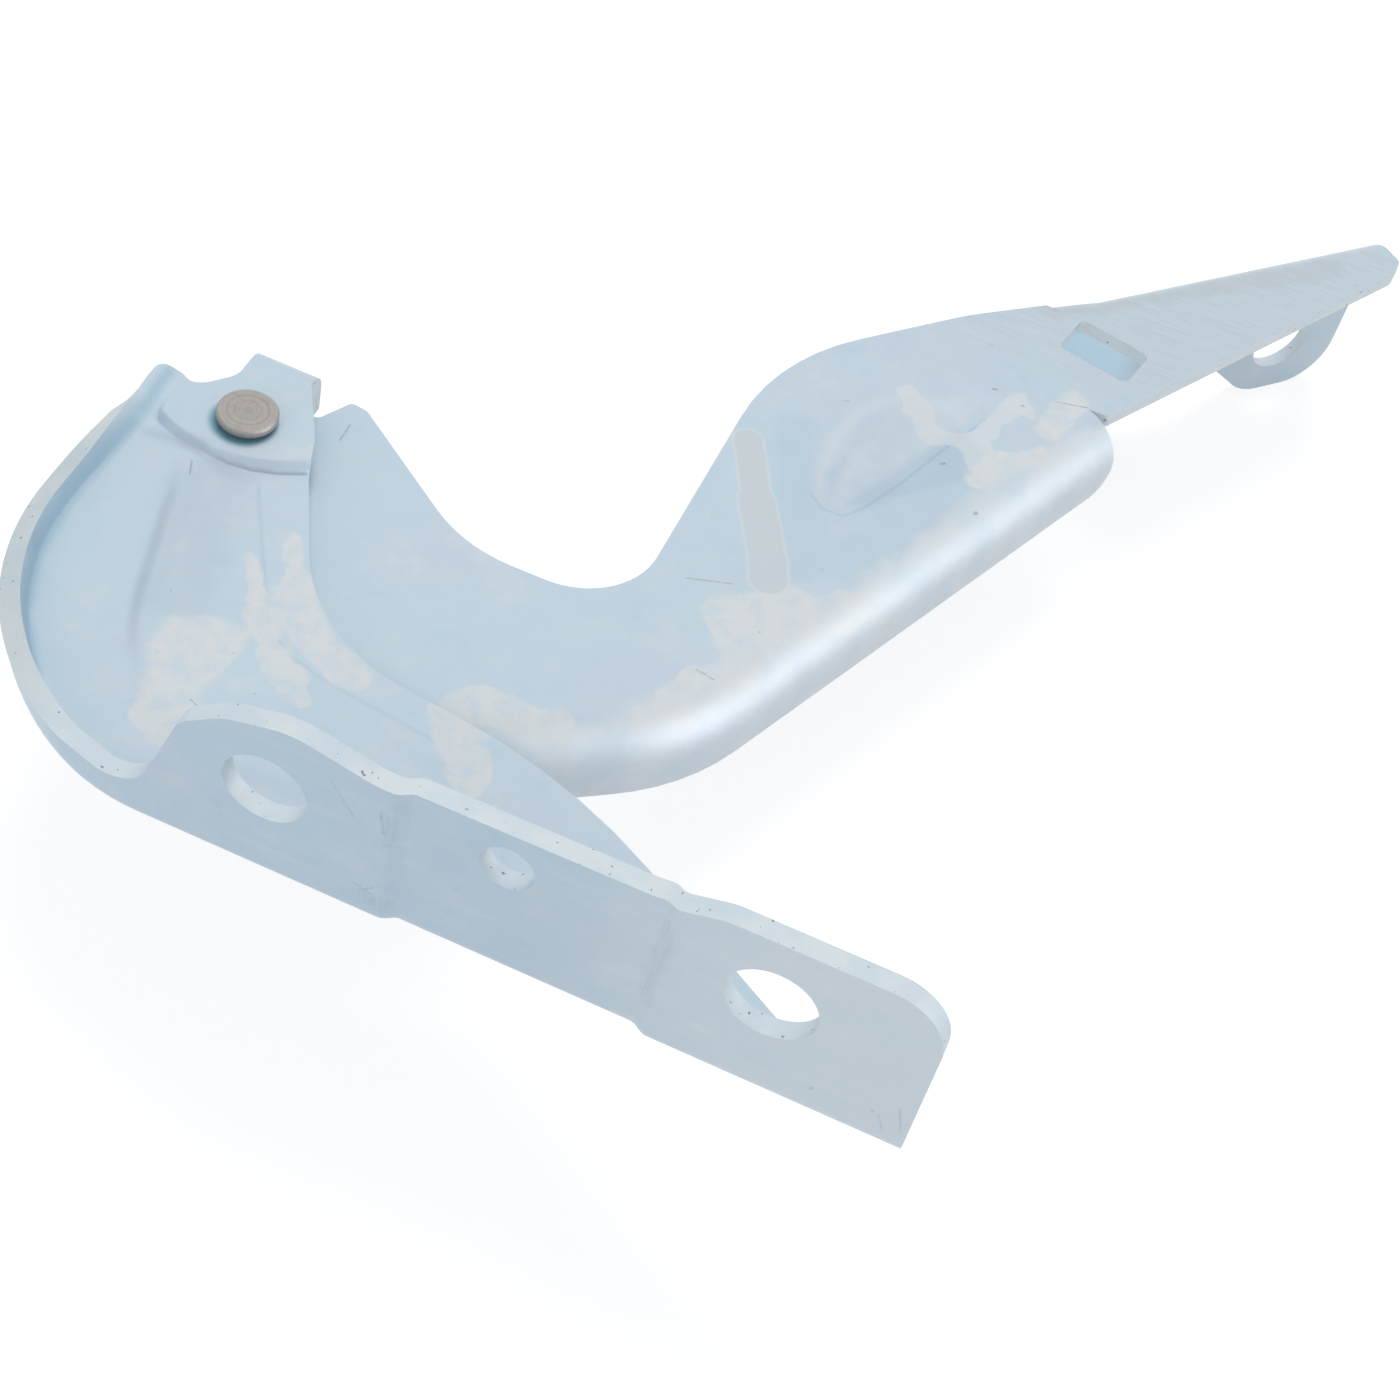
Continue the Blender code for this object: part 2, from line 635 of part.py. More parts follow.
def arm_outline(line):
    """The web's outline, anticlockwise from the rolled edge."""
    bonnet_places = bonnet_stations()
    strip = rounded([
        (*line[-1][0], 0.0), (STRIP_START_X, STRIP_START_Y, 1.5 * MM), (TIP_X, TIP_NEAR_Y, 4.0 * MM),
        (TIP_X, TIP_FAR_Y, 1.5 * MM), (*bonnet_line(BONNET_END, bonnet_radius(BONNET_END)), 0.0)],
        closed=False)
    bonnet = [bonnet_line(along, bonnet_radius(along)) for along in bonnet_places]
    shoulder = rounded([
        (*bonnet[-1], 0.0), (*bonnet_line(BONNET_START - 0.8 * MM, 1.0 * MM), 1.0 * MM),
        (103.4 * MM, 106.8 * MM, 60.0 * MM), (74.4 * MM, 73.8 * MM, 50.0 * MM),
        (74.2 * MM, -1.6 * MM, 18.0 * MM), (43.5 * MM, -2.1 * MM, 28.0 * MM),
        (14.6 * MM, 18.9 * MM, 1.2 * MM),
        (11.3 * MM, 19.4 * MM, 1.2 * MM), (7.9 * MM, 12.6 * MM, 1.5 * MM),
        (EYE_RADIUS * math.cos(math.radians(64.0)), EYE_RADIUS * math.sin(math.radians(64.0)), 0.0)],
        closed=False)
    eye = arc(0.0, 0.0, EYE_RADIUS, math.radians(64.0), math.radians(186.0))
    tail = rounded([
        (*eye[-1], 0.0), (-9.5 * MM, -26.5 * MM, 15.0 * MM), (*line[0][0], 0.0)], closed=False)
    return ([point for point, _ in line] + strip[1:-1] + bonnet + shoulder[1:] + eye[1:]
            + tail[1:-1])


def bonnet_stations():
    """Places along the bonnet flange from its free end back to its start."""
    count = 14
    return [BONNET_END + (BONNET_START - BONNET_END) * step / count for step in range(count + 1)]


def make_arm(finish, parent):
    sheet = Sheet(ARM_SHEET)
    line = roll_line()
    dent = divided(rounded(DENT_CORNERS))
    dent_lines = [dent + dent[:1]]
    for step in range(1, 5):
        loop = divided(rounded(inset(DENT_CORNERS, DENT_RUN * step / 4)))
        dent_lines.append(loop + loop[:1])
    slot = slot_outline()
    corners, faces = fill(arm_outline(line), [circle(0.0, 0.0, ARM_BORE), slot], dent_lines)
    down = Vector((0.0, 0.0, -1.0))
    sheet.add([(Vector((p.x, p.y, arm_level(p, dent))), down) for p in corners], faces)

    lengths = [0.0]
    for (here, _), (after, _) in zip(line, line[1:]):
        lengths.append(lengths[-1] + (after - here).length)

    def started(index):
        return blend(lengths[int(index)] / ROLL_START_RUN)

    def roll_wall(index):
        left = lengths[-1] - lengths[int(index)]
        corner = 0.0
        if left < ROLL_END_ROUND:
            corner = ROLL_END_ROUND - math.sqrt(ROLL_END_ROUND ** 2 - (ROLL_END_ROUND - left) ** 2)
        return max(0.0, (ROLL_DEPTH - ROLL_RADIUS) * started(index) - corner)

    roll = Fold(ARM_SHEET, False, lambda index: line[int(index)][0], lambda index: line[int(index)][1],
                lambda index: ARM_TOP, lambda index: math.pi / 2.0 * started(index),
                lambda index: ROLL_RADIUS)
    places = range(len(line))
    sheet.add_grid(roll.bend_rows(places))
    sheet.add_grid(roll.wall_rows(places, roll_wall, rows=2))

    way_out = Vector((-math.sin(BONNET_ANGLE), math.cos(BONNET_ANGLE)))
    bonnet = Fold(ARM_SHEET, False, lambda along: bonnet_line(along, bonnet_radius(along)),
                  lambda along: way_out, lambda along: ARM_TOP, lambda along: math.pi / 2.0, bonnet_radius)
    stations = bonnet_stations()
    sheet.add_grid(bonnet.bend_rows(stations))
    add_bonnet_wall(sheet, bonnet, stations)
    return place("bonnet_arm", sheet.thicken(), finish, parent)


def slot_outline():
    """The rectangular slot in the strip, turned to its own angle."""
    half_long, half_wide = SLOT_LONG / 2.0, SLOT_WIDE / 2.0
    cos, sin = math.cos(SLOT_TURN), math.sin(SLOT_TURN)
    corners = []
    for along, across in ((-1.0, -1.0), (1.0, -1.0), (1.0, 1.0), (-1.0, 1.0)):
        x, y = half_long * along, half_wide * across
        corners.append((SLOT_X + x * cos - y * sin, SLOT_Y + x * sin + y * cos, SLOT_ROUND))
    return rounded(corners)


def add_bonnet_wall(sheet, fold, stations):
    """The bonnet flange, with its two lugs. Heights run down from the web's top face."""
    def corner(along, depth, radius):
        return along, depth, radius

    outline = rounded([
        corner(BONNET_START, 0.0, 0.0), corner(BONNET_START, LUG_DEPTH, 12.0 * MM),
        corner(9.0 * MM, LUG_DEPTH, 12.0 * MM), corner(24.0 * MM, VALLEY_DEPTH, 8.0 * MM),
        corner(34.5 * MM, VALLEY_DEPTH, 8.0 * MM), corner(53.6 * MM, LUG_DEPTH, 12.0 * MM),
        corner(74.6 * MM, LUG_DEPTH, 13.0 * MM), corner(74.6 * MM, 12.0 * MM, 5.0 * MM),
        corner(BONNET_END, 8.0 * MM, 2.0 * MM), corner(BONNET_END, 0.0, 0.0)], closed=False)
    outline = [Vector((point.x, point.y - fold.radius(point.x))) for point in outline[1:-1]]
    seam = [Vector((along, 0.0)) for along in stations]
    rings = [circle(along, LUG_HOLE_DEPTH - fold.radius(BONNET_END), radius)
             for along, radius in ((LUG_ONE_ALONG, LUG_ONE_HOLE), (LUG_TWO_ALONG, LUG_TWO_HOLE))]
    add_wall(sheet, fold, seam + outline, rings)


# Pivot

def turned(name, profile, finish, parent, steps=ROUND_STEPS):
    """A ring or a pin turned from a closed profile of (radius, height), on the pivot axis."""
    mesh = bmesh.new()
    rings = []
    for radius, height in profile:
        if radius == 0.0:
            rings.append([mesh.verts.new((0.0, 0.0, height))] * steps)
            continue
        rings.append([mesh.verts.new((p.x, p.y, height)) for p in circle(0.0, 0.0, radius, steps)])
    for index in range(len(rings)):
        lower, upper = rings[index - 1], rings[index]
        if lower[0] is lower[1] and upper[0] is upper[1]:
            continue
        for step in range(steps):
            after = (step + 1) % steps
            face = [lower[step], lower[after], upper[after], upper[step]]
            mesh.faces.new(list(dict.fromkeys(face)))
    bmesh.ops.recalc_face_normals(mesh, faces=mesh.faces[:])
    return place(name, mesh, finish, parent)


def make_rivet(finish, parent):
    """The pivot: a factory head under the arm, a shank, and the head formed over the bracket."""
    head_base = PAD_RISE + SEAT_GAP
    head_top = head_base + FORMED_HEAD_HEIGHT
    foot = ARM_BOTTOM - SEAT_GAP
    edge = 0.5 * MM
    rim_face = 0.62 * FORMED_HEAD_RADIUS
    dish = 0.15 * MM
    profile = [
        (0.0, foot - FACTORY_HEAD_HEIGHT), (FACTORY_HEAD_RADIUS - 2.0 * edge, foot - FACTORY_HEAD_HEIGHT),
        (FACTORY_HEAD_RADIUS, foot - FACTORY_HEAD_HEIGHT + 2.0 * edge), (FACTORY_HEAD_RADIUS, foot - edge),
        (FACTORY_HEAD_RADIUS - edge, foot), (SHANK_RADIUS, foot), (SHANK_RADIUS, head_base),
        (FORMED_HEAD_RADIUS - 1.4 * edge, head_base), (FORMED_HEAD_RADIUS, head_base + 1.4 * edge),
        (FORMED_HEAD_RADIUS, head_top - 1.4 * edge), (FORMED_HEAD_RADIUS - 0.4 * edge, head_top - 0.6 * edge),
        (FORMED_HEAD_RADIUS - 1.6 * edge, head_top), (rim_face, head_top), (rim_face - edge, head_top - dish),
        (0.0, head_top - dish)]
    return turned("pivot_rivet", profile, finish, parent)


def make_bush(finish, parent):
    """The flanged bush pressed into the arm's eye."""
    profile = [
        (BUSH_BORE, ARM_BOTTOM), (BUSH_RADIUS, ARM_BOTTOM), (BUSH_RADIUS, BUSH_SEAT),
        (BUSH_FLANGE_RADIUS, BUSH_SEAT), (BUSH_FLANGE_RADIUS, BUSH_SEAT + BUSH_FLANGE),
        (BUSH_BORE, BUSH_SEAT + BUSH_FLANGE)]
    return turned("pivot_bush", profile, finish, parent)


def make_washer(finish, parent):
    """The thrust washer between the bush and the underside of the bracket's pad."""
    profile = [
        (BUSH_BORE, WASHER_SEAT), (WASHER_RADIUS, WASHER_SEAT), (WASHER_RADIUS, WASHER_TOP),
        (BUSH_BORE, WASHER_TOP)]
    return turned("thrust_washer", profile, finish, parent)


def main():
    for old in list(bpy.data.objects):
        bpy.data.objects.remove(old, do_unlink=True)
    pivot = bpy.data.objects.new("pivot_axis", None)
    pivot.location = (PIVOT_ALONG, PIVOT_STANDOFF, PIVOT_DROP)
    bpy.context.scene.collection.objects.link(pivot)

    zinc = material("blue_zinc_plated_steel", (0.56, 0.67, 0.74), 0.38, 0.55)
    bare = material("bare_rivet_steel", (0.40, 0.38, 0.35), 0.45, 0.85)
    bronze = material("bush_bronze", (0.55, 0.38, 0.18), 0.40, 0.90)
    washer = material("washer_steel", (0.60, 0.62, 0.64), 0.35, 0.90)

    make_bracket(zinc, pivot)
    make_arm(zinc, pivot)
    make_rivet(bare, pivot)
    make_bush(bronze, pivot)
    make_washer(washer, pivot)


main()
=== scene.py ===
import json
import math

import bmesh
import bpy
from bpy.props import FloatProperty, FloatVectorProperty, IntProperty, PointerProperty
from mathutils import Matrix, Vector


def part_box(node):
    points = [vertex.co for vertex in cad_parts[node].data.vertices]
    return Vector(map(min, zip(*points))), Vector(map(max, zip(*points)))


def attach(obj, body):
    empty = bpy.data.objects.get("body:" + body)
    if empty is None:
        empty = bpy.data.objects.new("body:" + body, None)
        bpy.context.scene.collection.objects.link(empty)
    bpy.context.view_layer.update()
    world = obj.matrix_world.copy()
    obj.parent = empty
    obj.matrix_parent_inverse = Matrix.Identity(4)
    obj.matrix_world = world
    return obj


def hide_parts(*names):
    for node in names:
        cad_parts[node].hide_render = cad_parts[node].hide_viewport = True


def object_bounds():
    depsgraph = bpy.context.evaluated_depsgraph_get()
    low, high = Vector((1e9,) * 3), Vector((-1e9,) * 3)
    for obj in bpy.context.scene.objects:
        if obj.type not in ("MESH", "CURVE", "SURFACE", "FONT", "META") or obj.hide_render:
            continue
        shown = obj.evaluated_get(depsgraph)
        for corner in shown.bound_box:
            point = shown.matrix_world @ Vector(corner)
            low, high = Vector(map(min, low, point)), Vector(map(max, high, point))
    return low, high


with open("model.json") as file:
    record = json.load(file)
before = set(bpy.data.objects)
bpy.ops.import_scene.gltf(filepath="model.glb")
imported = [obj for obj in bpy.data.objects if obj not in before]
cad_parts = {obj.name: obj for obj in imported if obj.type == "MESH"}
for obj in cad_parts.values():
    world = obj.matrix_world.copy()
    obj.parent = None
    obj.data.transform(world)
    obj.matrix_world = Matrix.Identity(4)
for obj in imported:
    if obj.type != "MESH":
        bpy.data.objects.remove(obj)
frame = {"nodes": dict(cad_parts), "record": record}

bl_info = {
    "name": "Bonnet Hinge",
    "version": (1, 0, 0),
    "blender": (4, 5, 0),
    "location": "3D View > Sidebar > Hinge",
    "description": "Finishes a pressed steel bonnet hinge: plating, cut edges, rivet and studio",
    "category": "Object",
}

MM = 0.001
CAD_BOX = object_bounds()
JOINT = frame["record"]["behaviour"]["joints"][0]
PIVOT = Vector(JOINT["pos_m"])

# Height of the bracket's inner face. All patterns are placed from the pivot at this height,
# in millimetres.
WEB_FACE = -17.0 * MM
PATTERN_ORIGIN = Vector((PIVOT.x, PIVOT.y, WEB_FACE))


def shade(red, green, blue):
    """A colour read as 0 to 255, as Blender's linear values."""
    def linear(value):
        value /= 255.0
        return value / 12.92 if value <= 0.04045 else ((value + 0.055) / 1.055) ** 2.4
    return linear(red), linear(green), linear(blue)


# Dull white stains left by the plating bath, as (x, y, x, y, radius)
BRACKET_STAINS = (
    (14.0, -50.1, 17.2, -47.0, 4.9), (16.5, -57.3, 19.1, -53.8, 4.2), (18.0, -63.2, 18.8, -60.8, 3.8),
    (18.0, -66.5, 20.4, -68.1, 2.3), (19.3, -50.7, 20.0, -45.3, 3.0), (15.2, -27.6, 19.2, -33.0, 1.5),
    (20.5, -34.8, 24.7, -41.3, 2.1), (27.8, -44.5, 33.3, -47.9, 2.5), (34.0, -49.4, 36.8, -50.3, 1.5),
    (19.4, -19.7, 23.9, -27.6, 1.9), (24.9, -29.6, 29.0, -36.2, 3.4), (32.2, -38.1, 39.6, -40.8, 3.6),
    (40.3, -42.1, 42.6, -42.0, 2.3), (59.5, -40.7, 62.1, -40.4, 3.8), (61.1, -45.8, 66.5, -49.8, 3.4),
    (67.1, -47.1, 68.2, -53.5, 2.3),
)
ARM_STAINS = (
    (58.3, -35.0, 60.7, -32.3, 3.0), (62.6, -32.4, 67.9, -31.9, 3.4), (69.6, -31.6, 74.2, -29.5, 2.6),
    (89.9, 7.0, 99.2, 15.2, 4.2), (94.4, 2.9, 100.9, 10.8, 4.2), (102.0, 12.8, 108.7, 20.9, 3.0),
    (108.3, 22.0, 112.4, 26.7, 1.7), (88.4, -16.1, 91.6, -9.2, 3.0), (92.4, -11.3, 97.4, -2.6, 3.4),
    (85.6, -21.8, 90.7, -16.3, 1.9), (118.9, 63.3, 121.7, 70.5, 2.5), (122.3, 68.4, 127.6, 77.9, 1.9),
    (127.7, 84.3, 129.6, 95.1, 2.5), (119.5, 87.1, 122.7, 86.9, 1.7),
)
# The pale network beside the arm's dent, and the arm's grey streak
ARM_BAND = (
    (99.7, 78.5, 102.3, 76.5, 2.3), (102.3, 76.5, 108.1, 71.4, 2.5), (108.1, 71.4, 116.1, 72.0, 2.4),
    (116.1, 72.0, 120.2, 65.6, 2.6), (115.6, 73.5, 117.2, 78.3, 1.5), (117.2, 78.3, 119.3, 86.0, 1.8),
    (119.3, 86.0, 120.0, 89.0, 1.8),
)
ARM_STREAK = (
    (77.8, 49.9, 84.8, 36.2, 2.7), (84.8, 36.2, 91.9, 23.3, 3.4), (91.9, 23.3, 93.6, 19.0, 3.5),
)
# The pale painted highlight along the rolled edge, the deeper blue of the arm's middle and the painted shade
# in its dent
ROLL_HIGHLIGHT = (
    (76.8, -35.2, 86.5, -23.7, 3.4), (86.5, -23.7, 100.0, -1.6, 4.2), (100.0, -1.6, 108.4, 16.7, 4.2),
    (108.4, 16.7, 124.7, 61.4, 3.8), (124.7, 61.4, 136.3, 87.2, 3.8),
)
ARM_DEEP = (
    (85.8, 56.4, 97.0, 26.4, 4.9), (106.4, 49.5, 115.6, 64.2, 6.8), (103.4, 30.3, 113.9, 45.3, 4.2),
)
# Painted shade in the dent
DENT_SHADE = ((99.8, 51.4, 107.1, 71.4, 6.4), (105.5, 58.0, 114.7, 66.8, 5.4))
# The lilac painted shade on the bracket's web inside the panel's left crease, the painted shadow of the
# rivet's head and the wear along the arm's strip
BRACKET_WEB_SHADE = ((1.3, -17.3, 8.6, -40.6, 6.5),)
RIVET_SHADOW = ((-0.5, -1.0, -0.2, -1.1, 5.7),)
STRIP_WEAR = ((118.0, 119.5, 166.0, 164.5, 3.4),)

# Lines of points along the pressed forms, where painted shade darkens the plating, and the dent's left rim,
# where a painted highlight makes it paler
RIM_BEND = ((-16.9, 3.0), (-16.9, -31.6), (-15.1, -44.6), (-10.1, -56.8), (-2.1, -67.2))
PANEL_LEFT = ((-6.2, -13.3), (-3.6, -20.1), (-2.1, -26.0), (0.3, -34.0), (2.5, -41.7), (5.0, -48.7),
              (7.6, -53.9), (10.8, -58.7))
PANEL_RIGHT = ((8.2, -11.4), (14.8, -22.5), (20.6, -32.2), (25.3, -39.7), (30.3, -43.0), (37.1, -44.7),
               (43.3, -45.5), (52.4, -46.5), (62.8, -47.7))
PAD_EDGE = ((-4.2, -9.2), (-1.7, -9.6), (1.5, -9.6), (5.4, -8.9), (9.9, -7.2), (13.9, -4.8))
PAD_LEFT = ((-13.6, -9.9), (-9.0, -9.3), (-4.3, -9.0))
# Painted highlight along the dent's left rim
DENT_HIGHLIGHT = ((94.7, 42.3), (92.6, 50.0), (91.9, 59.9), (93.3, 68.4), (97.7, 74.9), (100.9, 78.9))
# Painted shade along the dent's lower edge
DENT_EDGE = ((93.0, 43.0), (96.0, 40.8), (100.1, 40.9), (103.1, 45.4), (106.7, 54.5), (110.7, 66.7),
             (115.6, 79.9))

# Fine dark scratches, as (x, y, x, y, half width)
BRACKET_SCRATCHES = ((-2.9, -15.2, -4.1, -12.3, 0.16), (21.3, -59.6, 24.9, -61.1, 0.12))
ARM_SCRATCHES = (
    (126.4, 92.5, 132.6, 94.4, 0.14), (80.6, 11.5, 88.3, 14.5, 0.13), (90.3, -7.4, 93.6, -7.7, 0.14),
    (13.7, 9.8, 13.5, 14.1, 0.16), (111.9, 63.8, 112.4, 64.2, 0.34), (121.5, 55.8, 121.8, 56.2, 0.30),
    (114.4, 89.1, 114.9, 89.3, 0.32), (120.8, 87.7, 121.1, 87.9, 0.28), (143.5, 96.0, 146.0, 99.5, 0.12),
)
# The same on the body flange, as (x, z, x, z, half width)
FLANGE_SCRATCHES = (
    (56.3, 27.6, 60.2, 21.9, 0.14), (61.6, 6.2, 64.6, 5.2, 0.20), (62.8, 5.0, 64.9, 7.0, 0.16),
    (64.4, 25.0, 65.3, 20.8, 0.22), (150.5, 9.5, 151.9, 4.4, 0.16), (148.0, 6.0, 149.4, 2.6, 0.12),
)
FLANGE_SCUFFS = ((110.5, 27.0, 109.4, 8.0, 1.3), (66.0, 26.0, 65.6, 19.0, 1.0), (61.0, 4.6, 66.0, 3.4, 1.2))

# How much a tone changes the plating's colour, as factors of red, green and blue
CLOUD_TONE = (0.92, 0.95, 0.96)
ARM_TONE = (0.93, 0.955, 0.97)
# Painted shade in the dent
DENT_SHADE_TONE = (0.93, 0.95, 0.97)
# Painted shade along the dent's lower edge
DENT_EDGE_SHADE = (0.85, 0.89, 0.92)
SLOT_TONE = (1.2, 1.34, 1.36)
# Painted shade inside the panel's left crease
WEB_SHADE_TONE = (0.94, 0.925, 0.94)
# Painted shade in the rim's inner bend
RIM_BEND_SHADE = (0.72, 0.84, 0.89)
# Painted shade along the panel's left crease
PANEL_LEFT_SHADE = (0.83, 0.82, 0.86)
# Painted shade along the panel's right crease
PANEL_RIGHT_SHADE = (0.91, 0.93, 0.94)
# Painted shade under the pad's lower step
PAD_EDGE_SHADE = (0.66, 0.64, 0.69)
# Painted shade beside the pad's left end
PAD_LEFT_SHADE = (0.88, 0.87, 0.90)
RIVET_TONE = (0.24, 0.49, 0.56)
FLANGE_TONE = (0.90, 0.94, 0.97)
CUT_TONE = (0.88, 0.88, 0.87)
BROWN_TONE = (0.85, 0.76, 0.66)

# Where a tone, some wear, painted light or painted shade is nothing and where it is full, in millimetres from
# the pivot along one axis
ROLL_HEIGHT = (-4.6, -5.6)
ROLL_END = (98.0, 94.0)
SLOT_FACE_START = (98.0, 104.0)
SLOT_FACE_END = (142.0, 134.0)
SLOT_FACE_HEIGHT = (-7.0, -8.0)
ARM_TOP = (-5.4, -4.6)
STRIP_START = (92.0, 112.0)
PANEL_START = (-12.0, -26.0)
PANEL_END = (-59.0, -48.0)
PAD_EDGE_START = (-5.0, 2.0)
FLANGE_FACE = (-77.0, -80.0)
FLANGE_BLUE = (112.0, 88.0)
FLANGE_PALE = (98.0, 128.0)
CUT_GREY = (14.0, -8.0)

# The grey streak's pale outline, the scratches' soft border and the way that the strip is brushed
STREAK_OUTLINE = 0.4
SCRATCH_SOFTNESS = 0.12
BRUSHING_TURN = math.radians(-47.8)

# The noise that bends the stains' outlines, as (scale, detail, reach in millimetres)
BENDS = ((0.16, 2.0, 4.5), (0.9, 3.0, 0.9))
NOISE_MIDDLE = (0.5, 0.5, 0.5)
# How far a blot fades out and how wide it is full, as shares of its radius
BLOT_REACH = 1.7
BLOT_CORE = 0.3

# Roughness of stained, rolled and dented plating, and of the roughest cut edges
MATT = 0.56

# The copied meshes: what is merged, which faces are one plane, and what counts as a sharp edge
MERGE_DISTANCE = 0.002 * MM
PLANE_ANGLE = math.radians(0.3)
SHARP_ANGLE = math.radians(48.0)
# A run of faces is a cut edge if it is narrower than this many sheet thicknesses
CUT_WIDTH = 1.3

# The insets that dish the rivet's factory head one after the other, as (inset, rise) in millimetres
FOOT_STEPS = ((1.6, 0.0), (0.5, 0.0), (3.8, -0.25))
# The steps of its formed head from the underside up, as (how far in from the head's full radius, rise) in
# millimetres. The head's side takes the rest of its height.
HEAD_FOOT_INSET = 0.7
HEAD_FLARE = ((0.18, 0.22), (0.0, 0.34))
HEAD_CROWN = (
    (0.14, 0.30), (0.42, 0.22), (0.85, 0.10), (1.35, 0.04), (1.70, -0.02), (1.86, -0.11), (2.02, -0.02),
    (2.20, 0.09), (2.95, 0.03), (3.10, -0.07), (3.26, 0.05), (4.30, -0.01), (4.62, -0.10), (4.95, -0.07),
)
HEAD_WITHOUT_SIDE = 1.26
# How straight a face has to look up or down, and how near it has to be to the end, to be the end face
CAP_FACING = 0.99
CAP_LEVEL = 0.001 * MM

# The pieces of the bearing, as (node, piece, body, slot, colour, roughness)
BEARING_PIECES = (
    ("pivot_bush", "bush_turned", "arm", "bush_bronze", shade(176, 138, 84), 0.34),
    ("thrust_washer", "washer_ground", "bracket", "washer_steel", shade(188, 190, 192), 0.30),
)

# The stage: the floor's middle and its gap below the hinge, what the lights turn to, and the lights, as
# (setting, place, size, colour, whether it gives highlights or plain light), in metres
FLOOR_MIDDLE = (0.03, 0.13)
FLOOR_GAP = 0.05 * MM
LIGHT_TARGET = Vector((0.03, 0.12, -0.02))
LIGHTS = (
    ("key", (-0.3, 1.6, 3.1), 1.8, (1.0, 0.99, 0.98), False),
    ("fill", (-1.2, -2.4, 1.5), 2.2, (0.97, 0.99, 1.0), False),
    ("edge", (1.5, -1.1, 0.45), 0.9, (1.0, 1.0, 1.0), False),
    ("side", (2.9, -0.1, 0.9), 2.2, (1.0, 1.0, 1.0), True),
)
WHITE = (1.0, 1.0, 1.0, 1.0)
AMBIENT_COLOUR = (0.97, 0.99, 1.0, 1.0)
FLOOR_SHADE = (0.30, 0.30, 0.31, 1.0)
FLOOR_GLOW = 0.80
FLOOR_PLAIN = (0.78, 0.79, 0.80, 1.0)

# The photograph's camera: its axes, and its place from the pivot in millimetres
CAMERA_RIGHT = Vector((0.91400, 0.36504, 0.17704))
CAMERA_DOWN = Vector((0.38956, -0.66778, -0.63428))
CAMERA_FORWARD = Vector((-0.11331, 0.64870, -0.75256))
CAMERA_PLACE = Vector((145.17, -310.59, 340.64))
SENSOR_WIDTH = 36.0


class PlatingSettings(bpy.types.PropertyGroup):
    zinc: FloatVectorProperty(
        name="Zinc", description="Colour of the clean blue plating", subtype="COLOR", size=3,
        default=shade(190, 209, 222), min=0.0, max=1.0)
    stain: FloatVectorProperty(
        name="Stain", description="Colour of the dull white stains", subtype="COLOR", size=3,
        default=shade(215, 219, 221), min=0.0, max=1.0)
    streak: FloatVectorProperty(
        name="Streak", description="Colour of the grey streak and the brushed strip", subtype="COLOR", size=3,
        default=shade(185, 195, 201), min=0.0, max=1.0)
    # Colour of the pale painted highlight along the rolled edge
    wear_and_sheen: FloatVectorProperty(
        name="Worn", description="Colour of the pale lilac stretch along the rolled edge", subtype="COLOR",
        size=3, default=shade(212, 219, 225), min=0.0, max=1.0)
    tint: FloatVectorProperty(
        name="Tint", description="Lilac tint that drifts over the plating", subtype="COLOR", size=3,
        default=shade(195, 205, 220), min=0.0, max=1.0)
    roughness: FloatProperty(
        name="Roughness", description="Roughness of the clean plating", default=0.42, min=0.0, max=1.0)
    metallic: FloatProperty(
        name="Metallic", description="How metallic the plating looks", default=0.3, min=0.0, max=1.0)


class EdgeSettings(bpy.types.PropertyGroup):
    rounding: FloatProperty(
        name="Rounding", description="Width of the soft edge of a pressing", default=0.4 * MM,
        min=0.0, max=1.0 * MM, unit="LENGTH", precision=4)
    colour: FloatVectorProperty(
        name="Cut colour", description="Colour of the sheared edges", subtype="COLOR", size=3,
        default=shade(212, 221, 226), min=0.0, max=1.0)
    bracket_sheet: FloatProperty(
        name="Bracket sheet", description="Thickness of the bracket's sheet", default=3.5 * MM,
        min=1.0 * MM, max=6.0 * MM, unit="LENGTH", precision=4)
    arm_sheet: FloatProperty(
        name="Arm sheet", description="Thickness of the arm's sheet", default=2.8 * MM,
        min=1.0 * MM, max=6.0 * MM, unit="LENGTH", precision=4)


class RivetSettings(bpy.types.PropertyGroup):
    head_radius: FloatProperty(
        name="Formed head radius", description="Radius of the head formed over the bracket",
        default=5.5 * MM, min=4.0 * MM, max=8.0 * MM, unit="LENGTH", precision=4)
    head_height: FloatProperty(
        name="Formed head height", description="Height of the head formed over the bracket",
        default=2.1 * MM, min=1.0 * MM, max=4.0 * MM, unit="LENGTH", precision=4)
    shank_radius: FloatProperty(
        name="Shank radius", description="Radius of the rivet's shank", default=4.0 * MM,
        min=3.0 * MM, max=5.0 * MM, unit="LENGTH", precision=4)
    foot_radius: FloatProperty(
        name="Factory head radius", description="Radius of the head under the arm", default=8.5 * MM,
        min=6.0 * MM, max=10.0 * MM, unit="LENGTH", precision=4)
    foot_height: FloatProperty(
        name="Factory head height", description="Height of the head under the arm", default=3.0 * MM,
        min=1.0 * MM, max=5.0 * MM, unit="LENGTH", precision=4)
    steel: FloatVectorProperty(
        name="Rivet steel", description="Colour of the bare rivet", subtype="COLOR", size=3,
        default=shade(176, 172, 168), min=0.0, max=1.0)
    sides: IntProperty(name="Sides", description="Sides of the turned shapes", default=96, min=24, max=256)


